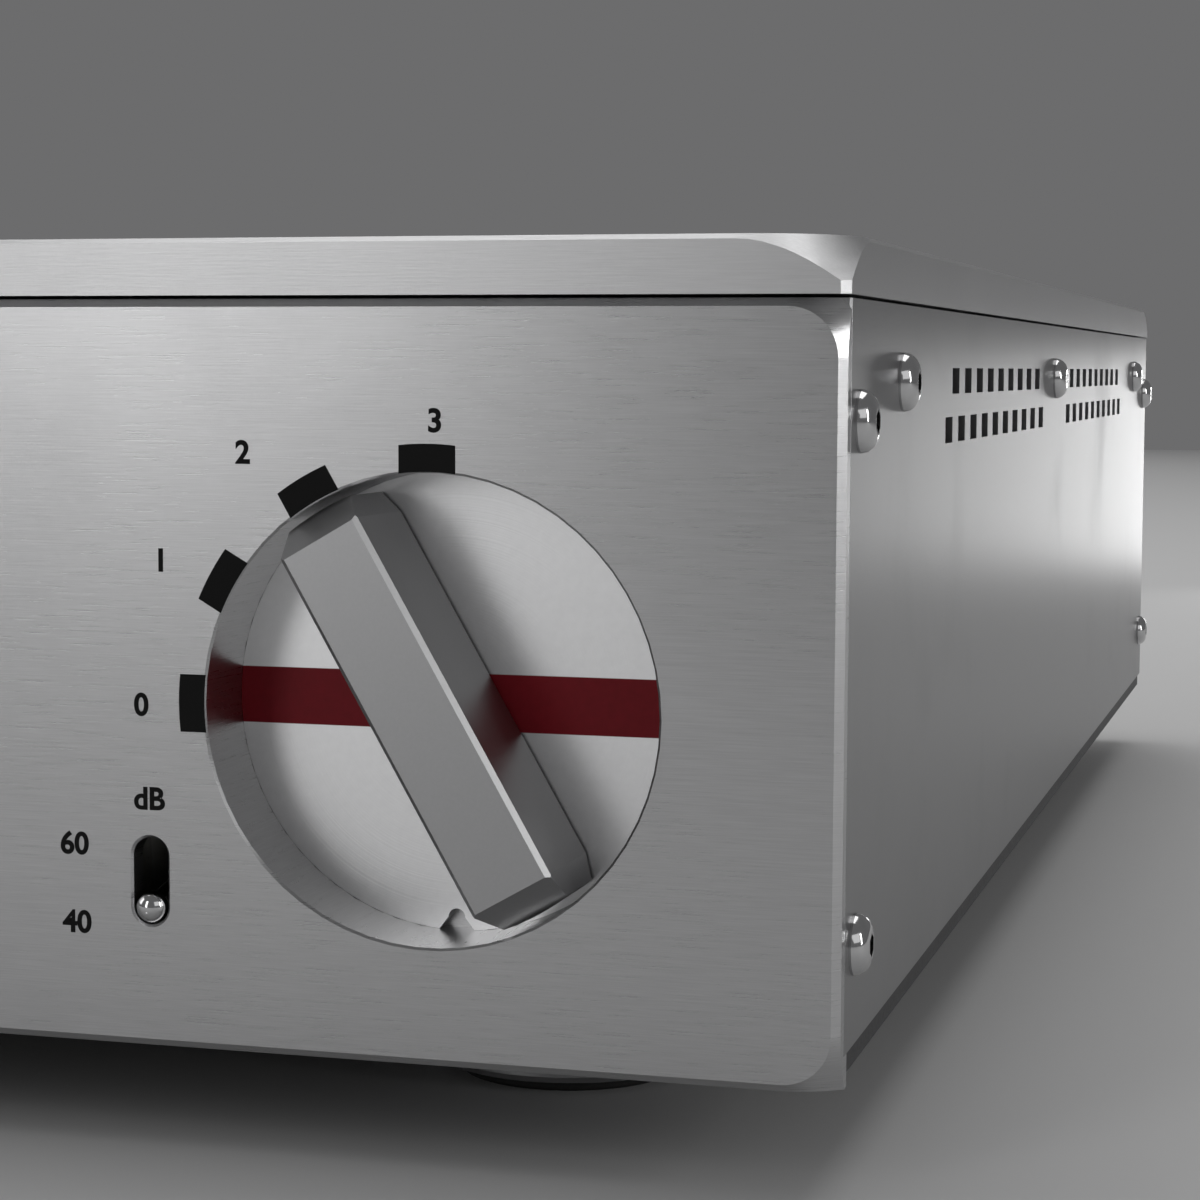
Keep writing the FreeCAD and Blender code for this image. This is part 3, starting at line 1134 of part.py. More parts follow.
# Mains inlet with its fuse drawer
def mains_inlet():
    x = "(-inletAcross)"
    flange = box(x + "- flangeWidth / 2", rearY, inletZ + "- flangeTall / 2",
                 "flangeWidth", "flangeHeight", "flangeTall")
    shell = box(x + "- inletWidth / 2", rearY + "- inletDeep", inletZ + "- inletTall / 2",
                "inletWidth", "inletDeep", "inletTall")
    floor = rearY + "+ flangeHeight - cavityDeep"
    cavity = box(x + "- cavityWidth / 2", floor, inletZ + "+ cavityRise - cavityTall / 2",
                 "cavityWidth", "cavityDeep + 1", "cavityTall")
    drawer = box(x + "- drawerWidth / 2 - drawerGap", rearY + "+ flangeHeight - drawerDeep - drawerGap",
                 inletZ + "- drawerDrop - drawerTall / 2 - drawerGap",
                 "drawerWidth + 2 * drawerGap", "drawerDeep + 2", "drawerTall + 2 * drawerGap")
    tools = [cavity, drawer]
    for screw in INLET_SCREWS:
        tools.append(cylinder(screw, rearY, inletZ, "screwHole", "flangeHeight", "Y"))
    for across, rise in PINS:
        tools.append(box(x + "%+g" % (across - 1), rearY + "- inletDeep", inletZ + "+ cavityRise %+g" % (rise - 2),
                         2, "inletDeep", 4))
    piece("mains_inlet", cut(fuse(flange, shell), *tools))

    blade = Part.makeBox(2, 14 + 12, 4, V(-1, -12, -2))
    floor_rear = size["flangeHeight"] - size["cavityDeep"]
    group("inlet_pins", [placed(blade, *number_of(across - size["inletAcross"], rear=floor_rear,
                                                  high=size["inletHigh"] + size["cavityRise"] + rise))
                         for across, rise in PINS])

    low = inletZ + "- drawerDrop - drawerTall / 2"
    tray = box(x + "- drawerWidth / 2", rearY + "+ flangeHeight - drawerDeep", low,
               "drawerWidth", "drawerDeep", "drawerTall")
    lip = box(x + "- drawerWidth / 2 + 1", rearY + "+ flangeHeight", low + "+ 1",
              "drawerWidth - 2", "drawerReach - flangeHeight + 1", "drawerTall - 2")
    well = box(x + "- 10.6", rearY + "+ flangeHeight - drawerDeep + 3", low + "+ 2", 21.2, 6, "drawerTall")
    piece("fuse_drawer", cut(fuse(tray, lip), well))
    piece("fuse", cylinder(x + "- 10", rearY + "+ flangeHeight - drawerDeep + 6", low + "+ 4.5", 2.5, 20, "X"))


# Mains blades in the cavity: across, rise
PINS = [(-7, -1.5), (7, -1.5), (0, 2)]


# Leads that the case holds all the way: corner points in depth and height, then a rounded path
def lead(label, points, radius):
    corners = [V(*number_of(x, depth=depth, high=high)) for x, depth, high in points]
    edges, last = [], corners[0]
    for before, corner, after in zip(corners, corners[1:], corners[2:]):
        back, ahead = (before - corner), (after - corner)
        shorter = min(back.Length, ahead.Length)
        back.normalize()
        ahead.normalize()
        turn_angle = math.pi - back.getAngle(ahead)
        tangent = 0.45 * shorter
        bend = tangent / math.tan(turn_angle / 2)
        middle = back + ahead
        middle.normalize()
        inward = bend / math.cos(turn_angle / 2) - bend
        start, stop = corner + back * tangent, corner + ahead * tangent
        edges.append(Part.LineSegment(last, start).toShape())
        edges.append(Part.Arc(start, corner + middle * inward, stop).toShape())
        last = stop
        print("%s bend radius %.1f" % (label, bend))
    edges.append(Part.LineSegment(last, corners[-1]).toShape())
    path = Part.Wire(edges)
    first = (corners[1] - corners[0]).normalize()
    ring = Part.Wire(Part.makeCircle(radius, corners[0], first))
    tube = path.makePipeShell([ring], True, False)
    ideal = math.pi * radius ** 2 * path.Length
    print("%s length %.0f, volume %.4f of its section times its length" % (label, path.Length, tube.Volume / ideal))
    group(label, [tube])


def leads():
    top = size["sideRise"] + size["boardRise"] + size["boardThickness"]
    coil = size["sideRise"] + size["transformerTall"]
    pin = size["bodyDepth"] + size["flangeHeight"] - size["cavityDeep"] - 12
    socket = size["inletHigh"] + size["cavityRise"] - 1.5
    wafer = size["waferRear"] + size["waferThickness"]
    dial = size["bodyWidth"] / 2 - size["dialInset"]
    radius = size["leadRadius"]
    lead("mains_lead", [(-157, pin, socket), (-157, pin - 26, socket), (-184, pin - 56, socket + 6),
                        (-194, 305, 70), (-197, 250, 71), (-196, 200, 70), (-186, 155, 68),
                        (-170, 125, 70), (-166, 116, 62), (-166, 116, coil)], radius)
    lead("secondary_lead", [(-98, 130, coil), (-98, 130, 58), (-95, 146, 72), (-90, 176, 70),
                            (-86, 204, 58), (-86, 216, 36), (-86, 216, top)], radius)
    lead("supply_lead", [(-84, 300, top), (-84, 300, 32), (-72, 300, 46), (-46, 300, 46), (-34, 300, 32),
                         (-34, 300, top)], radius)
    lead("selector_lead", [(dial + 10, wafer, size["dialHeight"]), (dial + 10, wafer + 24, size["dialHeight"]),
                           (dial + 8, wafer + 64, 48), (dial + 6, wafer + 105, 54), (dial + 4, wafer + 146, 44),
                           (dial + 2, 228, 28), (dial + 2, 228, top)], radius)


front_panel()
top_cover()
side_panel("side_panel_right", 1)
side_panel("side_panel_left", -1)
bottom_plate()
rear_panel()
rear_post("rear_post_right", 1)
rear_post("rear_post_left", -1)
cover_blocks()
side_screws()
hidden_screws()
feet()
foot_pads()
dial_disc()
selector_bar()
selector_shaft()
selector_switch()
gain_lever()
gain_switch()
boards()
board_parts()
transformer()
jacks()
earth_terminal()
mains_inlet()
leads()
doc.recompute()

# Nothing is written unless every object is sound
for thing in doc.Objects:
    if "Invalid" in thing.State or "Error" in thing.State:
        raise RuntimeError("%s (%s) failed: %s" % (thing.Name, thing.Label, thing.State))
for thing in pieces:
    if thing.Shape.isNull() or not thing.Shape.isValid() or not thing.Shape.Solids:
        raise RuntimeError("%s has no sound shape" % thing.Label)

os.makedirs("parts", exist_ok=True)
for old in os.listdir("parts"):
    os.remove(os.path.join("parts", old))
for thing in pieces:
    thing.Shape.exportStep("parts/%s.step" % thing.Label)
whole = Part.makeCompound([thing.Shape for thing in pieces])
box_of = whole.optimalBoundingBox(False)
print("%d pieces, %d solids" % (len(pieces), len(whole.Solids)))
print("box X %.2f %.2f, Y %.2f %.2f, Z %.2f %.2f"
      % (box_of.XMin, box_of.XMax, box_of.YMin, box_of.YMax, box_of.ZMin, box_of.ZMax))
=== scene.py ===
import json
import math

import bpy
from mathutils import Matrix, Vector


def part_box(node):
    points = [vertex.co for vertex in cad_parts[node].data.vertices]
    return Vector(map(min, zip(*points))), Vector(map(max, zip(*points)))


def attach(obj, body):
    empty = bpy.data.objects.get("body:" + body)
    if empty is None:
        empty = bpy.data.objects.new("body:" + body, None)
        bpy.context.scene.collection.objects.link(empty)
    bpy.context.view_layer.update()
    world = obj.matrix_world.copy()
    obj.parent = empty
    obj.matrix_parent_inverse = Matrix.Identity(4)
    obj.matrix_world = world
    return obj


# Phono preamp: an aluminium case, a bar selector in a round dish, printed marks and figures.
# Metres, in the same frame as the solids: +X right, +Y to the rear, +Z up.

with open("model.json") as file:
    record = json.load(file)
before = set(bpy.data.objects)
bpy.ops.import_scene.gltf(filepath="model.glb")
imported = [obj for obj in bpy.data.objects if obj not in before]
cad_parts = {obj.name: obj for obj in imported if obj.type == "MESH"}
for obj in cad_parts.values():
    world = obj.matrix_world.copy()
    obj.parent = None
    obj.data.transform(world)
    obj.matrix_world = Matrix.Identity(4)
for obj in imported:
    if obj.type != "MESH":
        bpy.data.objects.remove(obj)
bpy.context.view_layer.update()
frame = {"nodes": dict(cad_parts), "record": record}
nodes = frame["nodes"]
print("frame loaded:", len(nodes), "nodes")


# ---- places that several pieces share, read from the solids ----

panelLow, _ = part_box("front_panel")
_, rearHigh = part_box("rear_panel")
discLow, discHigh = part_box("dial_disc")
frontY = panelLow.y
rearY = rearHigh.y
dialX = (discLow.x + discHigh.x) / 2
dialZ = discHigh.z - (discHigh.x - discLow.x) / 2   # the disc is notched at its foot


# ---- camera ----

cameraView = {
    "place": (0.2732, -0.5416, 0.0994),
    "yaw": 15.43,        # degrees to the left of straight ahead
    "pitch": 4.773,      # degrees down
    "roll": 0.248,
    "lens": 83.5,
    "sensor": 36.0,
    "nearest": 0.01,
    "farthest": 50,
}


def makeCamera(view):
    lens = bpy.data.cameras.new("viewCamera")
    lens.lens = view["lens"]
    lens.sensor_width = view["sensor"]
    lens.clip_start = view["nearest"]
    lens.clip_end = view["farthest"]
    camera = bpy.data.objects.new("viewCamera", lens)
    bpy.context.scene.collection.objects.link(camera)
    turn = (Matrix.Rotation(math.radians(view["yaw"]), 4, "Z")
            @ Matrix.Rotation(math.radians(90 - view["pitch"]), 4, "X")
            @ Matrix.Rotation(math.radians(view["roll"]), 4, "Z"))
    camera.matrix_world = Matrix.Translation(view["place"]) @ turn
    bpy.context.scene.camera = camera


makeCamera(cameraView)
print("camera placed")


# ---- building node trees, for shaders and for geometry ----

def connect(tree, socket, value):
    if isinstance(value, bpy.types.NodeSocket):
        tree.links.new(value, socket)
    else:
        socket.default_value = value


def addNode(tree, kind, inputs=None, **settings):
    node = tree.nodes.new(kind)
    for name, value in settings.items():
        setattr(node, name, value)
    for name, value in (inputs or {}).items():
        connect(tree, node.inputs[name], value)
    return node


def compute(tree, operation, *values, clamp=False):
    return addNode(tree, "ShaderNodeMath", dict(enumerate(values)), operation=operation,
                   use_clamp=clamp).outputs[0]


def newGroup(name, inputs, outputs):
    tree = bpy.data.node_groups.new(name, "ShaderNodeTree")
    for label, kind, value in inputs:
        socket = tree.interface.new_socket(label, in_out="INPUT", socket_type=kind)
        socket.default_value = value
    for label, kind in outputs:
        tree.interface.new_socket(label, in_out="OUTPUT", socket_type=kind)
    return tree, tree.nodes.new("NodeGroupInput"), tree.nodes.new("NodeGroupOutput")


def useGroup(tree, group, inputs):
    node = tree.nodes.new("ShaderNodeGroup")
    node.node_tree = group
    for name, value in inputs.items():
        connect(tree, node.inputs[name], value)
    return node.outputs[0]


def ownPlace(tree):
    return addNode(tree, "ShaderNodeTexCoord").outputs["Object"]


def ownAxes(tree):
    return addNode(tree, "ShaderNodeSeparateXYZ", {0: ownPlace(tree)}).outputs


# ---- effects that several finishes share ----

grainNoise = {"Scale": 1.0, "Roughness": 0.6}


def buildGrain():
    # fine streaks or speckle: noise on the piece's own coordinates, drawn out by Stretch
    tree, given, result = newGroup(
        "finishGrain",
        [("Stretch", "NodeSocketVector", (400, 400, 400)), ("Detail", "NodeSocketFloat", 3.0),
         ("Contrast", "NodeSocketFloat", 1.0)],
        [("Value", "NodeSocketFloat")])
    drawn = addNode(tree, "ShaderNodeVectorMath",
                    {0: ownPlace(tree), 1: given.outputs["Stretch"]}, operation="MULTIPLY")
    noise = addNode(tree, "ShaderNodeTexNoise",
                    {"Vector": drawn.outputs[0], "Detail": given.outputs["Detail"], **grainNoise})
    centred = compute(tree, "SUBTRACT", noise.outputs["Fac"], 0.5)
    scaled = compute(tree, "MULTIPLY", centred, given.outputs["Contrast"])
    tree.links.new(compute(tree, "ADD", scaled, 0.5, clamp=True), result.inputs["Value"])
    return tree


smudgeNoise = {"Detail": 4.0, "Roughness": 0.55, "Distortion": 0.4}
smudgeFull = 0.78        # noise above this is smudged through


def buildHandling():
    # faint smudges where hands and cloths have been: 0 clean, 1 smudged
    tree, given, result = newGroup(
        "handlingMarks",
        [("Size", "NodeSocketFloat", 40.0), ("Cover", "NodeSocketFloat", 0.45)],
        [("Mask", "NodeSocketFloat")])
    broad = addNode(tree, "ShaderNodeTexNoise",
                    {"Vector": ownPlace(tree), "Scale": given.outputs["Size"], **smudgeNoise})
    mask = addNode(tree, "ShaderNodeMapRange",
                   {"Value": broad.outputs["Fac"], "From Min": given.outputs["Cover"],
                    "From Max": smudgeFull})
    tree.links.new(mask.outputs[0], result.inputs["Mask"])
    return tree


ringNoise = {"Scale": 1.0, "Detail": 2.0}


def buildTurned():
    # rings left by a lathe: noise along the distance from an axis
    tree, given, result = newGroup(
        "turnedRings",
        [("Across", "NodeSocketFloat", 0.0), ("Upward", "NodeSocketFloat", 0.0),
         ("Density", "NodeSocketFloat", 4000.0)],
        [("Value", "NodeSocketFloat")])
    both = addNode(tree, "ShaderNodeCombineXYZ",
                   {"X": given.outputs["Across"], "Y": given.outputs["Upward"]})
    reach = addNode(tree, "ShaderNodeVectorMath", {0: both.outputs[0]}, operation="LENGTH")
    dense = compute(tree, "MULTIPLY", reach.outputs["Value"], given.outputs["Density"])
    rings = addNode(tree, "ShaderNodeTexNoise", {"W": dense, **ringNoise}, noise_dimensions="1D")
    tree.links.new(rings.outputs["Fac"], result.inputs["Value"])
    return tree


grainGroup = buildGrain()
handlingGroup = buildHandling()
turnedGroup = buildTurned()


# ---- what all finishes are built with ----

# what a finish has unless it says otherwise; bumpHeight is in metres
usual = {"specular": 0.5, "detail": 4.0, "bumpHeight": 0.0002}


def startMaterial(name, look):
    material = bpy.data.materials.new(name)
    material.use_nodes = True
    tree = material.node_tree
    surface = tree.nodes["Principled BSDF"]
    surface.inputs["Specular IOR Level"].default_value = look["specular"]
    grain = useGroup(tree, grainGroup, {"Stretch": look["grain"], "Detail": look["detail"],
                                        "Contrast": look["contrast"]})
    return material, tree, surface, grain


def mixTone(tree, amount, one, other):
    node = addNode(tree, "ShaderNodeMix", data_type="RGBA")
    tree.links.new(amount, node.inputs["Factor"])
    for socket, value in ((node.inputs[6], one), (node.inputs[7], other)):
        connect(tree, socket, (*value, 1.0) if isinstance(value, tuple) else value)
    return node.outputs[2]


def spread(tree, value, low, high):
    return addNode(tree, "ShaderNodeMapRange",
                   {"Value": value, "To Min": low, "To Max": high}).outputs[0]


def bumpFrom(tree, surface, height, look):
    bump = addNode(tree, "ShaderNodeBump", {"Height": height, "Strength": look["bump"],
                                            "Distance": look["bumpHeight"]})
    tree.links.new(bump.outputs[0], surface.inputs["Normal"])


# ---- plain finishes ----

# colours, shine, and the grain's stretch in cycles for each metre
finishes = {
    "brushedPanel": {
        "dark": (0.44, 0.44, 0.445), "light": (0.58, 0.58, 0.585), "metal": 1.0,
        "rough": (0.25, 0.32), "grain": (130, 130, 6500), "contrast": 1.3, "bump": 0.05},
    "coverMetal": {
        "dark": (0.56, 0.56, 0.565), "light": (0.66, 0.66, 0.665), "metal": 1.0,
        "rough": (0.32, 0.4), "grain": (160, 4200, 4200), "contrast": 1.3, "bump": 0.06},
    # the side panels' colour is painted darker than the front's aluminium, as painted shade on the
    # right side
    "shadedSideMetal": {
        "dark": (0.26, 0.26, 0.264), "light": (0.33, 0.33, 0.335), "metal": 1.0,
        "rough": (0.3, 0.37), "grain": (2600, 220, 2600), "contrast": 1.2, "bump": 0.05},
    "barMetal": {
        "dark": (0.4, 0.4, 0.405), "light": (0.45, 0.45, 0.455), "metal": 1.0,
        "rough": (0.32, 0.38), "grain": (2600, 2600, 2600), "contrast": 0.9, "bump": 0.03},
    "chromed": {
        "dark": (0.58, 0.58, 0.585), "light": (0.66, 0.66, 0.665), "metal": 1.0,
        "rough": (0.06, 0.14), "grain": (900, 900, 900), "contrast": 1.0, "bump": 0.01},
    "blackSheet": {
        "dark": (0.012, 0.012, 0.013), "light": (0.022, 0.022, 0.024), "metal": 0.0,
        "rough": (0.42, 0.56), "grain": (1400, 1400, 1400), "contrast": 1.4, "bump": 0.25},
    "blockMetal": {
        "dark": (0.55, 0.55, 0.56), "light": (0.66, 0.66, 0.67), "metal": 1.0,
        "rough": (0.25, 0.4), "grain": (300, 300, 3000), "contrast": 1.3, "bump": 0.08},
    "platedSteel": {
        "dark": (0.46, 0.46, 0.44), "light": (0.58, 0.58, 0.55), "metal": 1.0,
        "rough": (0.24, 0.4), "grain": (1200, 1200, 1200), "contrast": 1.4, "bump": 0.04},
    "goldBrass": {
        "dark": (0.72, 0.5, 0.18), "light": (0.86, 0.64, 0.27), "metal": 1.0,
        "rough": (0.14, 0.24), "grain": (1800, 1800, 1800), "contrast": 1.0, "bump": 0.02},
    "blackPlastic": {
        "dark": (0.012, 0.012, 0.012), "light": (0.024, 0.024, 0.024), "metal": 0.0,
        "rough": (0.4, 0.55), "grain": (4200, 4200, 4200), "contrast": 1.5, "bump": 0.2},
    "padRubber": {
        "dark": (0.01, 0.01, 0.01), "light": (0.022, 0.022, 0.021), "metal": 0.0,
        "rough": (0.7, 0.88), "grain": (3000, 3000, 3000), "contrast": 1.5, "bump": 0.3},
    "waferLaminate": {
        "dark": (0.2, 0.1, 0.035), "light": (0.3, 0.17, 0.07), "metal": 0.0, "rough": (0.45, 0.6),
        "grain": (900, 5000, 900), "contrast": 1.5, "bump": 0.1},
    "windingTape": {
        "dark": (0.46, 0.29, 0.03), "light": (0.62, 0.42, 0.06), "metal": 0.0,
        "rough": (0.22, 0.4), "grain": (160, 160, 40), "contrast": 1.6, "bump": 0.3},
    "canMetal": {
        "dark": (0.5, 0.51, 0.52), "light": (0.62, 0.63, 0.64), "metal": 1.0, "rough": (0.26, 0.4),
        "grain": (500, 500, 500), "contrast": 1.3, "bump": 0.04},
    "capacitorSleeve": {
        "dark": (0.01, 0.012, 0.02), "light": (0.02, 0.024, 0.038), "metal": 0.0,
        "rough": (0.22, 0.34), "grain": (700, 700, 200), "contrast": 1.2, "bump": 0.06},
    "relayCase": {
        "dark": (0.6, 0.6, 0.57), "light": (0.7, 0.7, 0.67), "metal": 0.0, "rough": (0.28, 0.4),
        "grain": (1500, 1500, 1500), "contrast": 1.0, "bump": 0.05},
    "leadJacket": {
        "dark": (0.012, 0.012, 0.012), "light": (0.026, 0.026, 0.026), "metal": 0.0,
        "rough": (0.38, 0.52), "grain": (1200, 1200, 1200), "contrast": 1.2, "bump": 0.1},
    "printInk": {
        "dark": (0.004, 0.004, 0.004), "light": (0.008, 0.008, 0.008), "metal": 0.0,
        "rough": (0.6, 0.72), "grain": (5000, 5000, 5000), "contrast": 1.4, "bump": 0.05,
        "specular": 0.15},
    "paleInk": {
        "dark": (0.62, 0.62, 0.61), "light": (0.74, 0.74, 0.73), "metal": 0.0,
        "rough": (0.42, 0.55), "grain": (5000, 5000, 5000), "contrast": 1.3, "bump": 0.05},
}

# smudges on every plain finish: Size and Cover of the noise, and how much duller they are
handling = {"Size": 26.0, "Cover": 0.50}
smudgeDulling = 0.04


def plainFinish(name):
    look = {**usual, **finishes[name]}
    material, tree, surface, grain = startMaterial(name, look)
    surface.inputs["Metallic"].default_value = look["metal"]
    tree.links.new(mixTone(tree, grain, look["dark"], look["light"]), surface.inputs["Base Color"])
    marks = useGroup(tree, handlingGroup, handling)
    rough = spread(tree, grain, *look["rough"])
    smudged = compute(tree, "MULTIPLY_ADD", marks, smudgeDulling, rough)
    tree.links.new(smudged, surface.inputs["Roughness"])
    bumpFrom(tree, surface, grain, look)
    return material


# ---- dish floor: satin turned metal with one painted stripe across it ----

dishFinish = {
    "dark": (0.88, 0.88, 0.885), "light": (0.96, 0.96, 0.965), "rough": (0.34, 0.42),
    "stripe": (0.24, 0.008, 0.016), "stripeDark": (0.18, 0.006, 0.011),
    "stripeHalf": 0.0036,      # half its height
    "stripeSoft": 0.00004,     # how far its edge fades
    "rings": 3500.0,           # lathe rings, in cycles for each metre
    "grain": (900, 900, 900), "detail": 3.0, "contrast": 1.0, "bump": 0.05, "specular": 0.15,
}


def makeDishFinish():
    look = {**usual, **dishFinish}
    material, tree, surface, grain = startMaterial("dishFloor", look)
    axes = ownAxes(tree)
    across = compute(tree, "SUBTRACT", axes["X"], dialX)
    upward = compute(tree, "SUBTRACT", axes["Z"], dialZ)
    rings = useGroup(tree, turnedGroup, {"Across": across, "Upward": upward,
                                         "Density": look["rings"]})
    bare = mixTone(tree, grain, look["dark"], look["light"])
    paint = mixTone(tree, grain, look["stripeDark"], look["stripe"])
    height = compute(tree, "ABSOLUTE", upward)
    edge = addNode(tree, "ShaderNodeMapRange",
                   {"Value": height, "From Min": look["stripeHalf"] - look["stripeSoft"],
                    "From Max": look["stripeHalf"] + look["stripeSoft"],
                    "To Min": 1.0, "To Max": 0.0})
    painted = edge.outputs[0]
    tree.links.new(mixTone(tree, painted, bare, paint), surface.inputs["Base Color"])
    tree.links.new(compute(tree, "SUBTRACT", 1.0, painted), surface.inputs["Metallic"])
    tree.links.new(spread(tree, grain, *look["rough"]), surface.inputs["Roughness"])
    bumpFrom(tree, surface, rings, look)
    return material


# ---- feet: lathe rings about each foot's own axis ----

footFinish = {
    "dark": (0.52, 0.52, 0.53), "light": (0.66, 0.66, 0.67), "rough": (0.24, 0.36),
    "rings": 2600.0,
    "grain": (60, 60, 6000), "detail": 3.0, "contrast": 1.3, "bump": 0.08,
}


def makeFootFinish():
    # the four feet mirror each other, so the distance is folded over both middles
    look = {**usual, **footFinish}
    low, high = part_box("foot_front_right")
    backLow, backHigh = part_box("foot_rear_right")
    footX = (low.x + high.x) / 2
    middleY = (low.y + high.y + backLow.y + backHigh.y) / 4
    halfY = (backLow.y + backHigh.y - low.y - high.y) / 4
    material, tree, surface, lines = startMaterial("footMetal", look)
    axes = ownAxes(tree)
    across = compute(tree, "SUBTRACT", compute(tree, "ABSOLUTE", axes["X"]), footX)
    centred = compute(tree, "SUBTRACT", axes["Y"], middleY)
    along = compute(tree, "SUBTRACT", compute(tree, "ABSOLUTE", centred), halfY)
    rings = useGroup(tree, turnedGroup, {"Across": across, "Upward": along,
                                         "Density": look["rings"]})
    surface.inputs["Metallic"].default_value = 1.0
    tree.links.new(mixTone(tree, lines, look["dark"], look["light"]), surface.inputs["Base Color"])
    tree.links.new(spread(tree, rings, *look["rough"]), surface.inputs["Roughness"])
    bumpFrom(tree, surface, compute(tree, "ADD", rings, lines), look)
    return material


# ---- socket insulators: white above for the left channel, red below for the right ----

insulatorFinish = {
    "white": (0.74, 0.73, 0.70), "red": (0.42, 0.012, 0.014), "rough": (0.30, 0.44),
    "between": 0.064,          # the height that parts the two rows of sockets
    "grain": (2500, 2500, 2500), "detail": 2.0, "contrast": 1.2, "bump": 0.05,
}


def makeInsulatorFinish():
    look = {**usual, **insulatorFinish}
    material, tree, surface, grain = startMaterial("insulatorPlastic", look)
    upper = compute(tree, "GREATER_THAN", ownAxes(tree)["Z"], look["between"])
    tree.links.new(mixTone(tree, upper, look["red"], look["white"]), surface.inputs["Base Color"])
    tree.links.new(spread(tree, grain, *look["rough"]), surface.inputs["Roughness"])
    bumpFrom(tree, surface, grain, look)
    return material


# ---- circuit boards: green mask over copper tracks ----

boardFinish = {
    "mask": (0.008, 0.075, 0.022), "track": (0.016, 0.13, 0.045), "rough": (0.22, 0.34),
    "cells": 180.0,            # for each metre
    "trackFrom": 0.42, "trackTo": 0.46,      # distance from a cell's middle, as a share of it
    "grain": (1500, 1500, 1500), "detail": 2.0, "contrast": 1.0,
    "bump": 0.15, "bumpHeight": 0.0001,
}


def makeBoardFinish():
    look = {**usual, **boardFinish}
    material, tree, surface, grain = startMaterial("boardGreen", look)
    cells = addNode(tree, "ShaderNodeTexVoronoi",
                    {"Vector": ownPlace(tree), "Scale": look["cells"]},
                    distance="MANHATTAN", feature="F1")
    tracks = addNode(tree, "ShaderNodeMapRange",
                     {"Value": cells.outputs["Distance"], "From Min": look["trackFrom"],
                      "From Max": look["trackTo"]}).outputs[0]
    tree.links.new(mixTone(tree, tracks, look["mask"], look["track"]),
                   surface.inputs["Base Color"])
    tree.links.new(spread(tree, grain, *look["rough"]), surface.inputs["Roughness"])
    bumpFrom(tree, surface, tracks, look)
    return material


# ---- the fuse's glass ----

glassFinish = {
    "tone": (0.92, 0.95, 0.95), "ior": 1.5, "rough": (0.02, 0.08),
    "grain": (300, 300, 300), "detail": 2.0, "contrast": 1.0,
}


def makeFuseGlass():
    look = {**usual, **glassFinish}
    material, tree, surface, grain = startMaterial("fuseGlass", look)
    surface.inputs["Base Color"].default_value = (*look["tone"], 1)
    surface.inputs["Transmission Weight"].default_value = 1.0
    surface.inputs["IOR"].default_value = look["ior"]
    tree.links.new(spread(tree, grain, *look["rough"]), surface.inputs["Roughness"])
    return material


materials = {name: plainFinish(name) for name in finishes}
materials["dishFloor"] = makeDishFinish()
materials["footMetal"] = makeFootFinish()
materials["insulatorPlastic"] = makeInsulatorFinish()
materials["boardGreen"] = makeBoardFinish()
materials["fuseGlass"] = makeFuseGlass()

# which finish each of the record's material slots gets
slotFinish = {
    "brushed_panel": "brushedPanel", "cover_metal": "coverMetal", "side_metal": "shadedSideMetal",
    "dish_floor": "dishFloor", "bar_metal": "barMetal", "chromed": "chromed",
    "black_sheet": "blackSheet", "foot_metal": "footMetal", "pad_rubber": "padRubber",
    "plated_steel": "platedSteel", "block_metal": "blockMetal", "gold_brass": "goldBrass",
    "black_plastic": "blackPlastic", "white_plastic": "insulatorPlastic", "board": "boardGreen",
    "wafer": "waferLaminate", "tape": "windingTape", "can_metal": "canMetal",
    "capacitor_sleeve": "capacitorSleeve", "relay_case": "relayCase",
    "lead_jacket": "leadJacket", "fuse_glass": "fuseGlass",
}

for part in frame["record"]["subparts"]:
    mesh = nodes[part["node"]].data
    finish = materials[slotFinish[part["material_slot"]]]
    if not mesh.materials:
        mesh.materials.append(finish)
    for index in range(len(mesh.materials)):
        mesh.materials[index] = finish
print("finishes:", len(materials))


# ---- growing a piece from geometry nodes ----

def newGeometryTree(name, inputs):
    tree = bpy.data.node_groups.new(name, "GeometryNodeTree")
    solid = "NodeSocketGeometry"
    tree.interface.new_socket("Geometry", in_out="INPUT", socket_type=solid)
    for label, kind in inputs:
        tree.interface.new_socket(label, in_out="INPUT", socket_type=kind)
    tree.interface.new_socket("Geometry", in_out="OUTPUT", socket_type=solid)
    return tree, tree.nodes.new("NodeGroupInput"), tree.nodes.new("NodeGroupOutput")


def growPiece(name, tree, values):
    # run a geometry tree on an empty mesh and keep its result as a plain mesh
    seed = bpy.data.objects.new(name + "Seed", bpy.data.meshes.new(name + "Seed"))
    bpy.context.scene.collection.objects.link(seed)
    modifier = seed.modifiers.new("grow", "NODES")
    modifier.node_group = tree
    sockets = {item.name: item.identifier for item in tree.interface.items_tree
               if item.item_type == "SOCKET" and item.in_out == "INPUT"}
    for label, value in values.items():
        modifier[sockets[label]] = value
    bpy.context.view_layer.update()
    ready = seed.evaluated_get(bpy.context.evaluated_depsgraph_get())
    mesh = bpy.data.meshes.new_from_object(ready)
    mesh.name = name
    piece = bpy.data.objects.new(name, mesh)
    bpy.context.scene.collection.objects.link(piece)
    seed.modifiers.remove(modifier)
    bpy.data.objects.remove(seed)
    return piece


# ---- printed position marks round the dish ----

dialMarks = {
    "Count": 4,
    "First": math.radians(90),      # from +X over the top
    "Step": math.radians(30),
    "Rim": 0.0291,                  # inner edge, from the dial's axis
    "Reach": 0.0325,                # outer edge
    "Width": 0.0072,
    "Lift": 0.00004,                # thickness of the ink
    "Columns": 13,                  # points across a mark
    "Rows": 3,
}


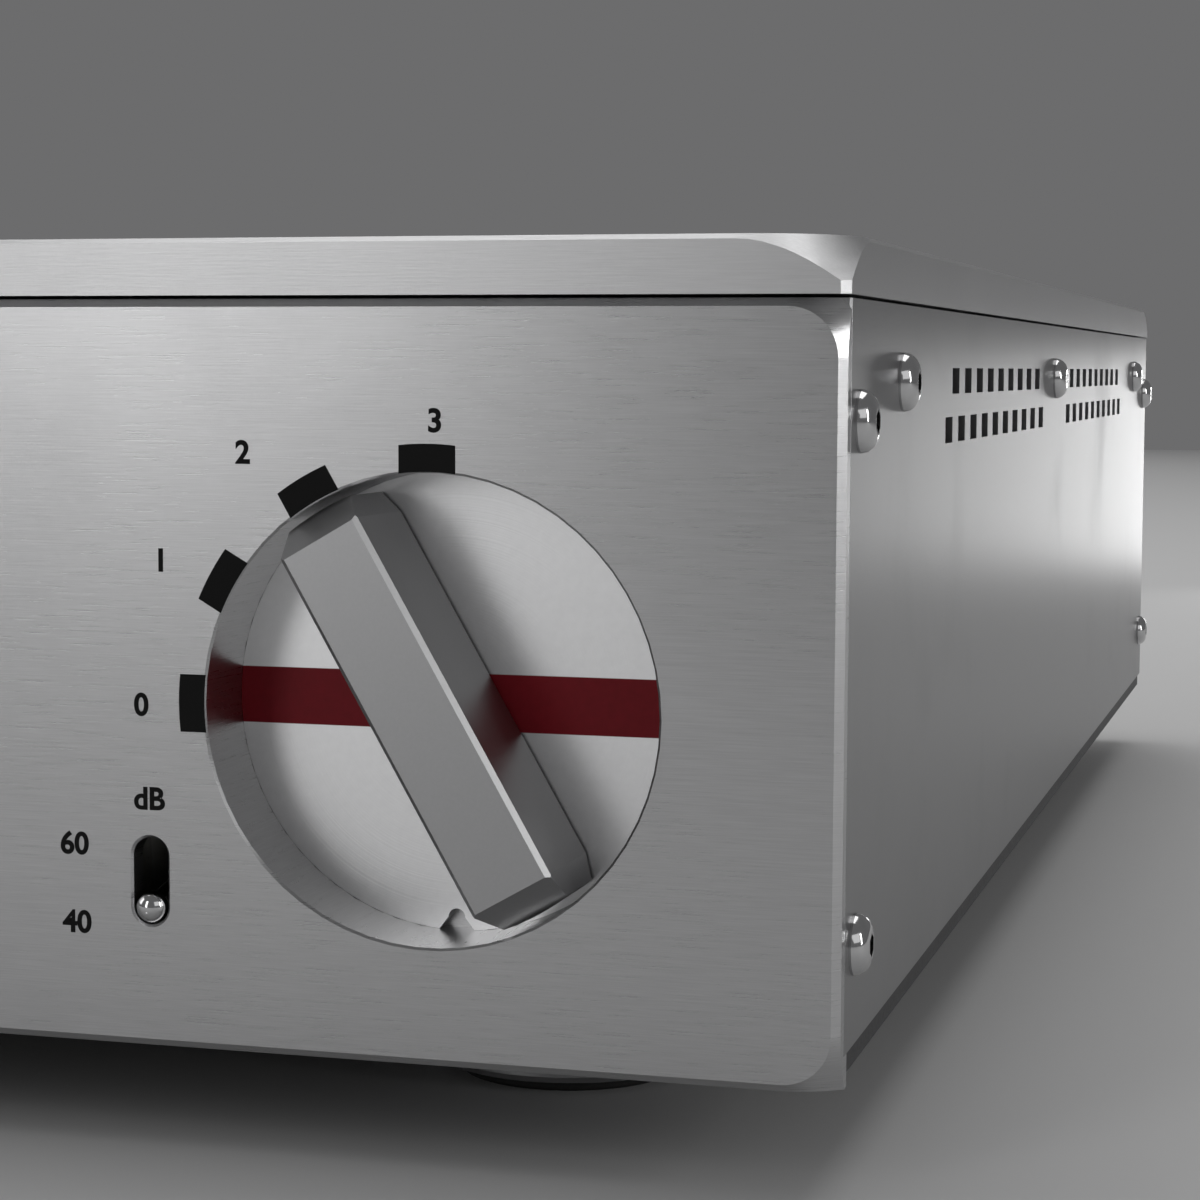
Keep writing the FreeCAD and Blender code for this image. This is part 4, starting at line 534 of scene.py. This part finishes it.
def makeMarkTree():
    # one small grid is bent to the rim, thickened, and set round the dial Count times
    tree, given, result = newGeometryTree("markRing", [
        ("Count", "NodeSocketInt"), ("First", "NodeSocketFloat"), ("Step", "NodeSocketFloat"),
        ("Rim", "NodeSocketFloat"), ("Reach", "NodeSocketFloat"), ("Width", "NodeSocketFloat"),
        ("Lift", "NodeSocketFloat"), ("Columns", "NodeSocketInt"), ("Rows", "NodeSocketInt"),
        ("Centre", "NodeSocketVector"), ("Ink", "NodeSocketMaterial")])
    wanted = given.outputs
    grid = addNode(tree, "GeometryNodeMeshGrid",
                   {"Size X": wanted["Width"],
                    "Size Y": compute(tree, "SUBTRACT", wanted["Reach"], wanted["Rim"]),
                    "Vertices X": wanted["Columns"], "Vertices Y": wanted["Rows"]})
    where = addNode(tree, "GeometryNodeInputPosition")
    axes = addNode(tree, "ShaderNodeSeparateXYZ", {0: where.outputs[0]}).outputs
    middle = compute(tree, "MULTIPLY", compute(tree, "ADD", wanted["Reach"], wanted["Rim"]), 0.5)
    radius = compute(tree, "ADD", middle, axes["Y"])
    square = compute(tree, "SUBTRACT", compute(tree, "MULTIPLY", radius, radius),
                     compute(tree, "MULTIPLY", axes["X"], axes["X"]))
    bent = addNode(tree, "ShaderNodeCombineXYZ",
                   {"X": axes["X"], "Y": compute(tree, "SQRT", square)})
    move = addNode(tree, "GeometryNodeSetPosition",
                   {"Geometry": grid.outputs["Mesh"], "Position": bent.outputs[0]})
    thick = addNode(tree, "GeometryNodeExtrudeMesh",
                    {"Mesh": move.outputs[0], "Offset Scale": wanted["Lift"],
                     "Individual": False})
    stand = addNode(tree, "GeometryNodeTransform",       # from lying flat to facing forward
                    {"Geometry": thick.outputs["Mesh"], "Rotation": (math.radians(90), 0, 0)})
    points = addNode(tree, "GeometryNodePoints", {"Count": wanted["Count"]})
    index = addNode(tree, "GeometryNodeInputIndex").outputs[0]
    swing = compute(tree, "ADD", wanted["First"], compute(tree, "MULTIPLY", index, wanted["Step"]))
    lean = compute(tree, "SUBTRACT", math.radians(90), swing)
    turn = addNode(tree, "ShaderNodeCombineXYZ", {"Y": lean})
    copies = addNode(tree, "GeometryNodeInstanceOnPoints",
                     {"Points": points.outputs[0], "Instance": stand.outputs[0],
                      "Rotation": turn.outputs[0]})
    shift = addNode(tree, "GeometryNodeTransform",
                    {"Geometry": copies.outputs[0], "Translation": wanted["Centre"]})
    real = addNode(tree, "GeometryNodeRealizeInstances", {0: shift.outputs[0]})
    coat = addNode(tree, "GeometryNodeSetMaterial",
                   {"Geometry": real.outputs[0], "Material": wanted["Ink"]})
    tree.links.new(coat.outputs[0], result.inputs[0])
    return tree


marks = growPiece("dialMarks", makeMarkTree(),
                  {**dialMarks, "Centre": (dialX, frontY, dialZ), "Ink": materials["printInk"]})
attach(marks, "chassis")
print("dial marks:", len(marks.data.polygons), "faces")


# ---- printed figures ----

figures = {
    "tall": 0.0031,        # height of a figure
    "weight": 0.030,       # boldness, as a share of the letter's size
    "thick": 0.004,        # half the ink's thickness, as a share of it too
    "capital": 0.729,      # height of a capital before it is made bold, as a share
    "curveSteps": 6,
    "front": [             # text, across from the dial's axis, above it
        ("3", 0.0010, 0.0354), ("2", -0.0238, 0.0313), ("1", -0.0348, 0.0178),
        ("0", -0.0376, -0.0003), ("dB", -0.0366, -0.0121), ("60", -0.0469, -0.0182),
        ("40", -0.0467, -0.0282)],
    "rear": [              # text, across from the middle, height
        ("1", 0.178, 0.091), ("2", 0.138, 0.091), ("L", 0.193, 0.076), ("R", 0.193, 0.052),
        ("L", 0.153, 0.076), ("R", 0.153, 0.052), ("L", 0.077, 0.076), ("R", 0.077, 0.052)],
}


def printText(text):
    # one figure or word as a thin flat mesh, centred on its own middle, facing -Y
    curve = bpy.data.curves.new("figure", "FONT")
    curve.body = text
    curve.size = 1.0
    curve.offset = figures["weight"]
    curve.extrude = figures["thick"]
    curve.resolution_u = figures["curveSteps"]
    letter = bpy.data.objects.new("figure", curve)
    bpy.context.scene.collection.objects.link(letter)
    bpy.context.view_layer.update()
    ready = letter.evaluated_get(bpy.context.evaluated_depsgraph_get())
    mesh = bpy.data.meshes.new_from_object(ready)
    bpy.data.objects.remove(letter)
    across = [corner.co.x for corner in mesh.vertices]
    back = min(corner.co.z for corner in mesh.vertices)
    capital = figures["capital"] + 2 * figures["weight"]
    middle = Vector(((min(across) + max(across)) / 2, capital / 2 - figures["weight"], back))
    mesh.transform(Matrix.Scale(figures["tall"] / capital, 4) @ Matrix.Translation(-middle))
    mesh.transform(Matrix.Rotation(math.radians(90), 4, "X"))
    return mesh


def printRow(name, entries, ink, origin, turn):
    # all figures of one face in one piece; turn is in degrees about the upright axis
    verts, faces = [], []
    for text, across, high in entries:
        mesh = printText(text)
        mesh.transform(Matrix.Rotation(math.radians(turn), 4, "Z"))
        mesh.transform(Matrix.Translation((origin[0] + across, origin[1], origin[2] + high)))
        start = len(verts)
        verts += [corner.co.copy() for corner in mesh.vertices]
        faces += [[start + k for k in polygon.vertices] for polygon in mesh.polygons]
    joined = bpy.data.meshes.new(name)
    joined.from_pydata(verts, [], faces)
    joined.materials.append(ink)
    piece = bpy.data.objects.new(name, joined)
    bpy.context.scene.collection.objects.link(piece)
    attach(piece, "chassis")


printRow("frontFigures", figures["front"], materials["printInk"], (dialX, frontY, dialZ), 0)
printRow("rearFigures", figures["rear"], materials["paleInk"], (0, rearY, 0), 180)
print("figures printed")


# ---- floor, world and lamps ----

floorFinish = {
    "tone": (0.58, 0.58, 0.58), "paler": 1.05, "rough": 0.85,
    "grain": (30, 30, 30), "detail": 3.0, "contrast": 0.3,
}

studio = {
    "floorReach": 6.0,
    "worldTone": (0.15, 0.15, 0.152),
    "worldStrength": 1.0,
    "lamps": [           # name, place, aim, width, height, watts, spread in degrees
        # the front mirrors this one, so its metal falls off from left to right
        ("keyLamp", (-0.52, -1.60, 0.62), (0.12, -0.22, 0.07), 0.40, 1.20, 3.6, 180),
        # broad soft ones keep the metal silvery from every side
        ("topLamp", (-0.10, 0.60, 1.90), (0.0, 0.05, 0.05), 2.0, 1.6, 18, 180),
        ("leftLamp", (-2.10, -0.30, 1.05), (-0.1, 0.0, 0.05), 1.6, 1.3, 9, 180),
        ("rearLamp", (-1.10, 2.30, 1.10), (-0.05, 0.20, 0.05), 1.7, 1.3, 10, 180),
        ("rightLamp", (2.00, -1.60, 1.20), (0.1, -0.1, 0.05), 1.5, 1.3, 4, 180),
        # a small one for the far end of the right side, and one for the corner's bevel
        ("glintLamp", (0.285, 0.82, 0.055), (0.225, 0.20, 0.06), 0.07, 0.10, 0.045, 110),
        ("edgeLamp", (1.70, -0.52, 0.55), (0.20, -0.22, 0.06), 0.12, 0.9, 1.2, 90),
    ],
}


def makeFloor():
    look = {**usual, **floorFinish}
    half = studio["floorReach"] / 2
    mesh = bpy.data.meshes.new("floor")
    mesh.from_pydata([(-half, -half, 0), (half, -half, 0), (half, half, 0), (-half, half, 0)],
                     [], [(0, 1, 2, 3)])
    floor = bpy.data.objects.new("floor", mesh)
    bpy.context.scene.collection.objects.link(floor)
    material, tree, surface, grain = startMaterial("floorPaper", look)
    pale = tuple(channel * look["paler"] for channel in look["tone"])
    tree.links.new(mixTone(tree, grain, look["tone"], pale), surface.inputs["Base Color"])
    surface.inputs["Roughness"].default_value = look["rough"]
    mesh.materials.append(material)


def makeStudio():
    world = bpy.data.worlds.new("studioWorld")
    bpy.context.scene.world = world
    world.use_nodes = True
    back = world.node_tree.nodes["Background"]
    back.inputs["Color"].default_value = (*studio["worldTone"], 1)
    back.inputs["Strength"].default_value = studio["worldStrength"]

    for name, place, aim, wide, tall, watts, beam in studio["lamps"]:
        lamp = bpy.data.lights.new(name, "AREA")
        lamp.shape = "RECTANGLE"
        lamp.size, lamp.size_y, lamp.energy = wide, tall, watts
        lamp.spread = math.radians(beam)
        holder = bpy.data.objects.new(name, lamp)
        bpy.context.scene.collection.objects.link(holder)
        holder.visible_camera = False
        toward = (Vector(aim) - Vector(place)).to_track_quat("-Z", "Y")
        holder.matrix_world = Matrix.Translation(place) @ toward.to_matrix().to_4x4()
    bpy.context.scene.view_settings.view_transform = "Standard"


makeFloor()
makeStudio()
print("studio lit")
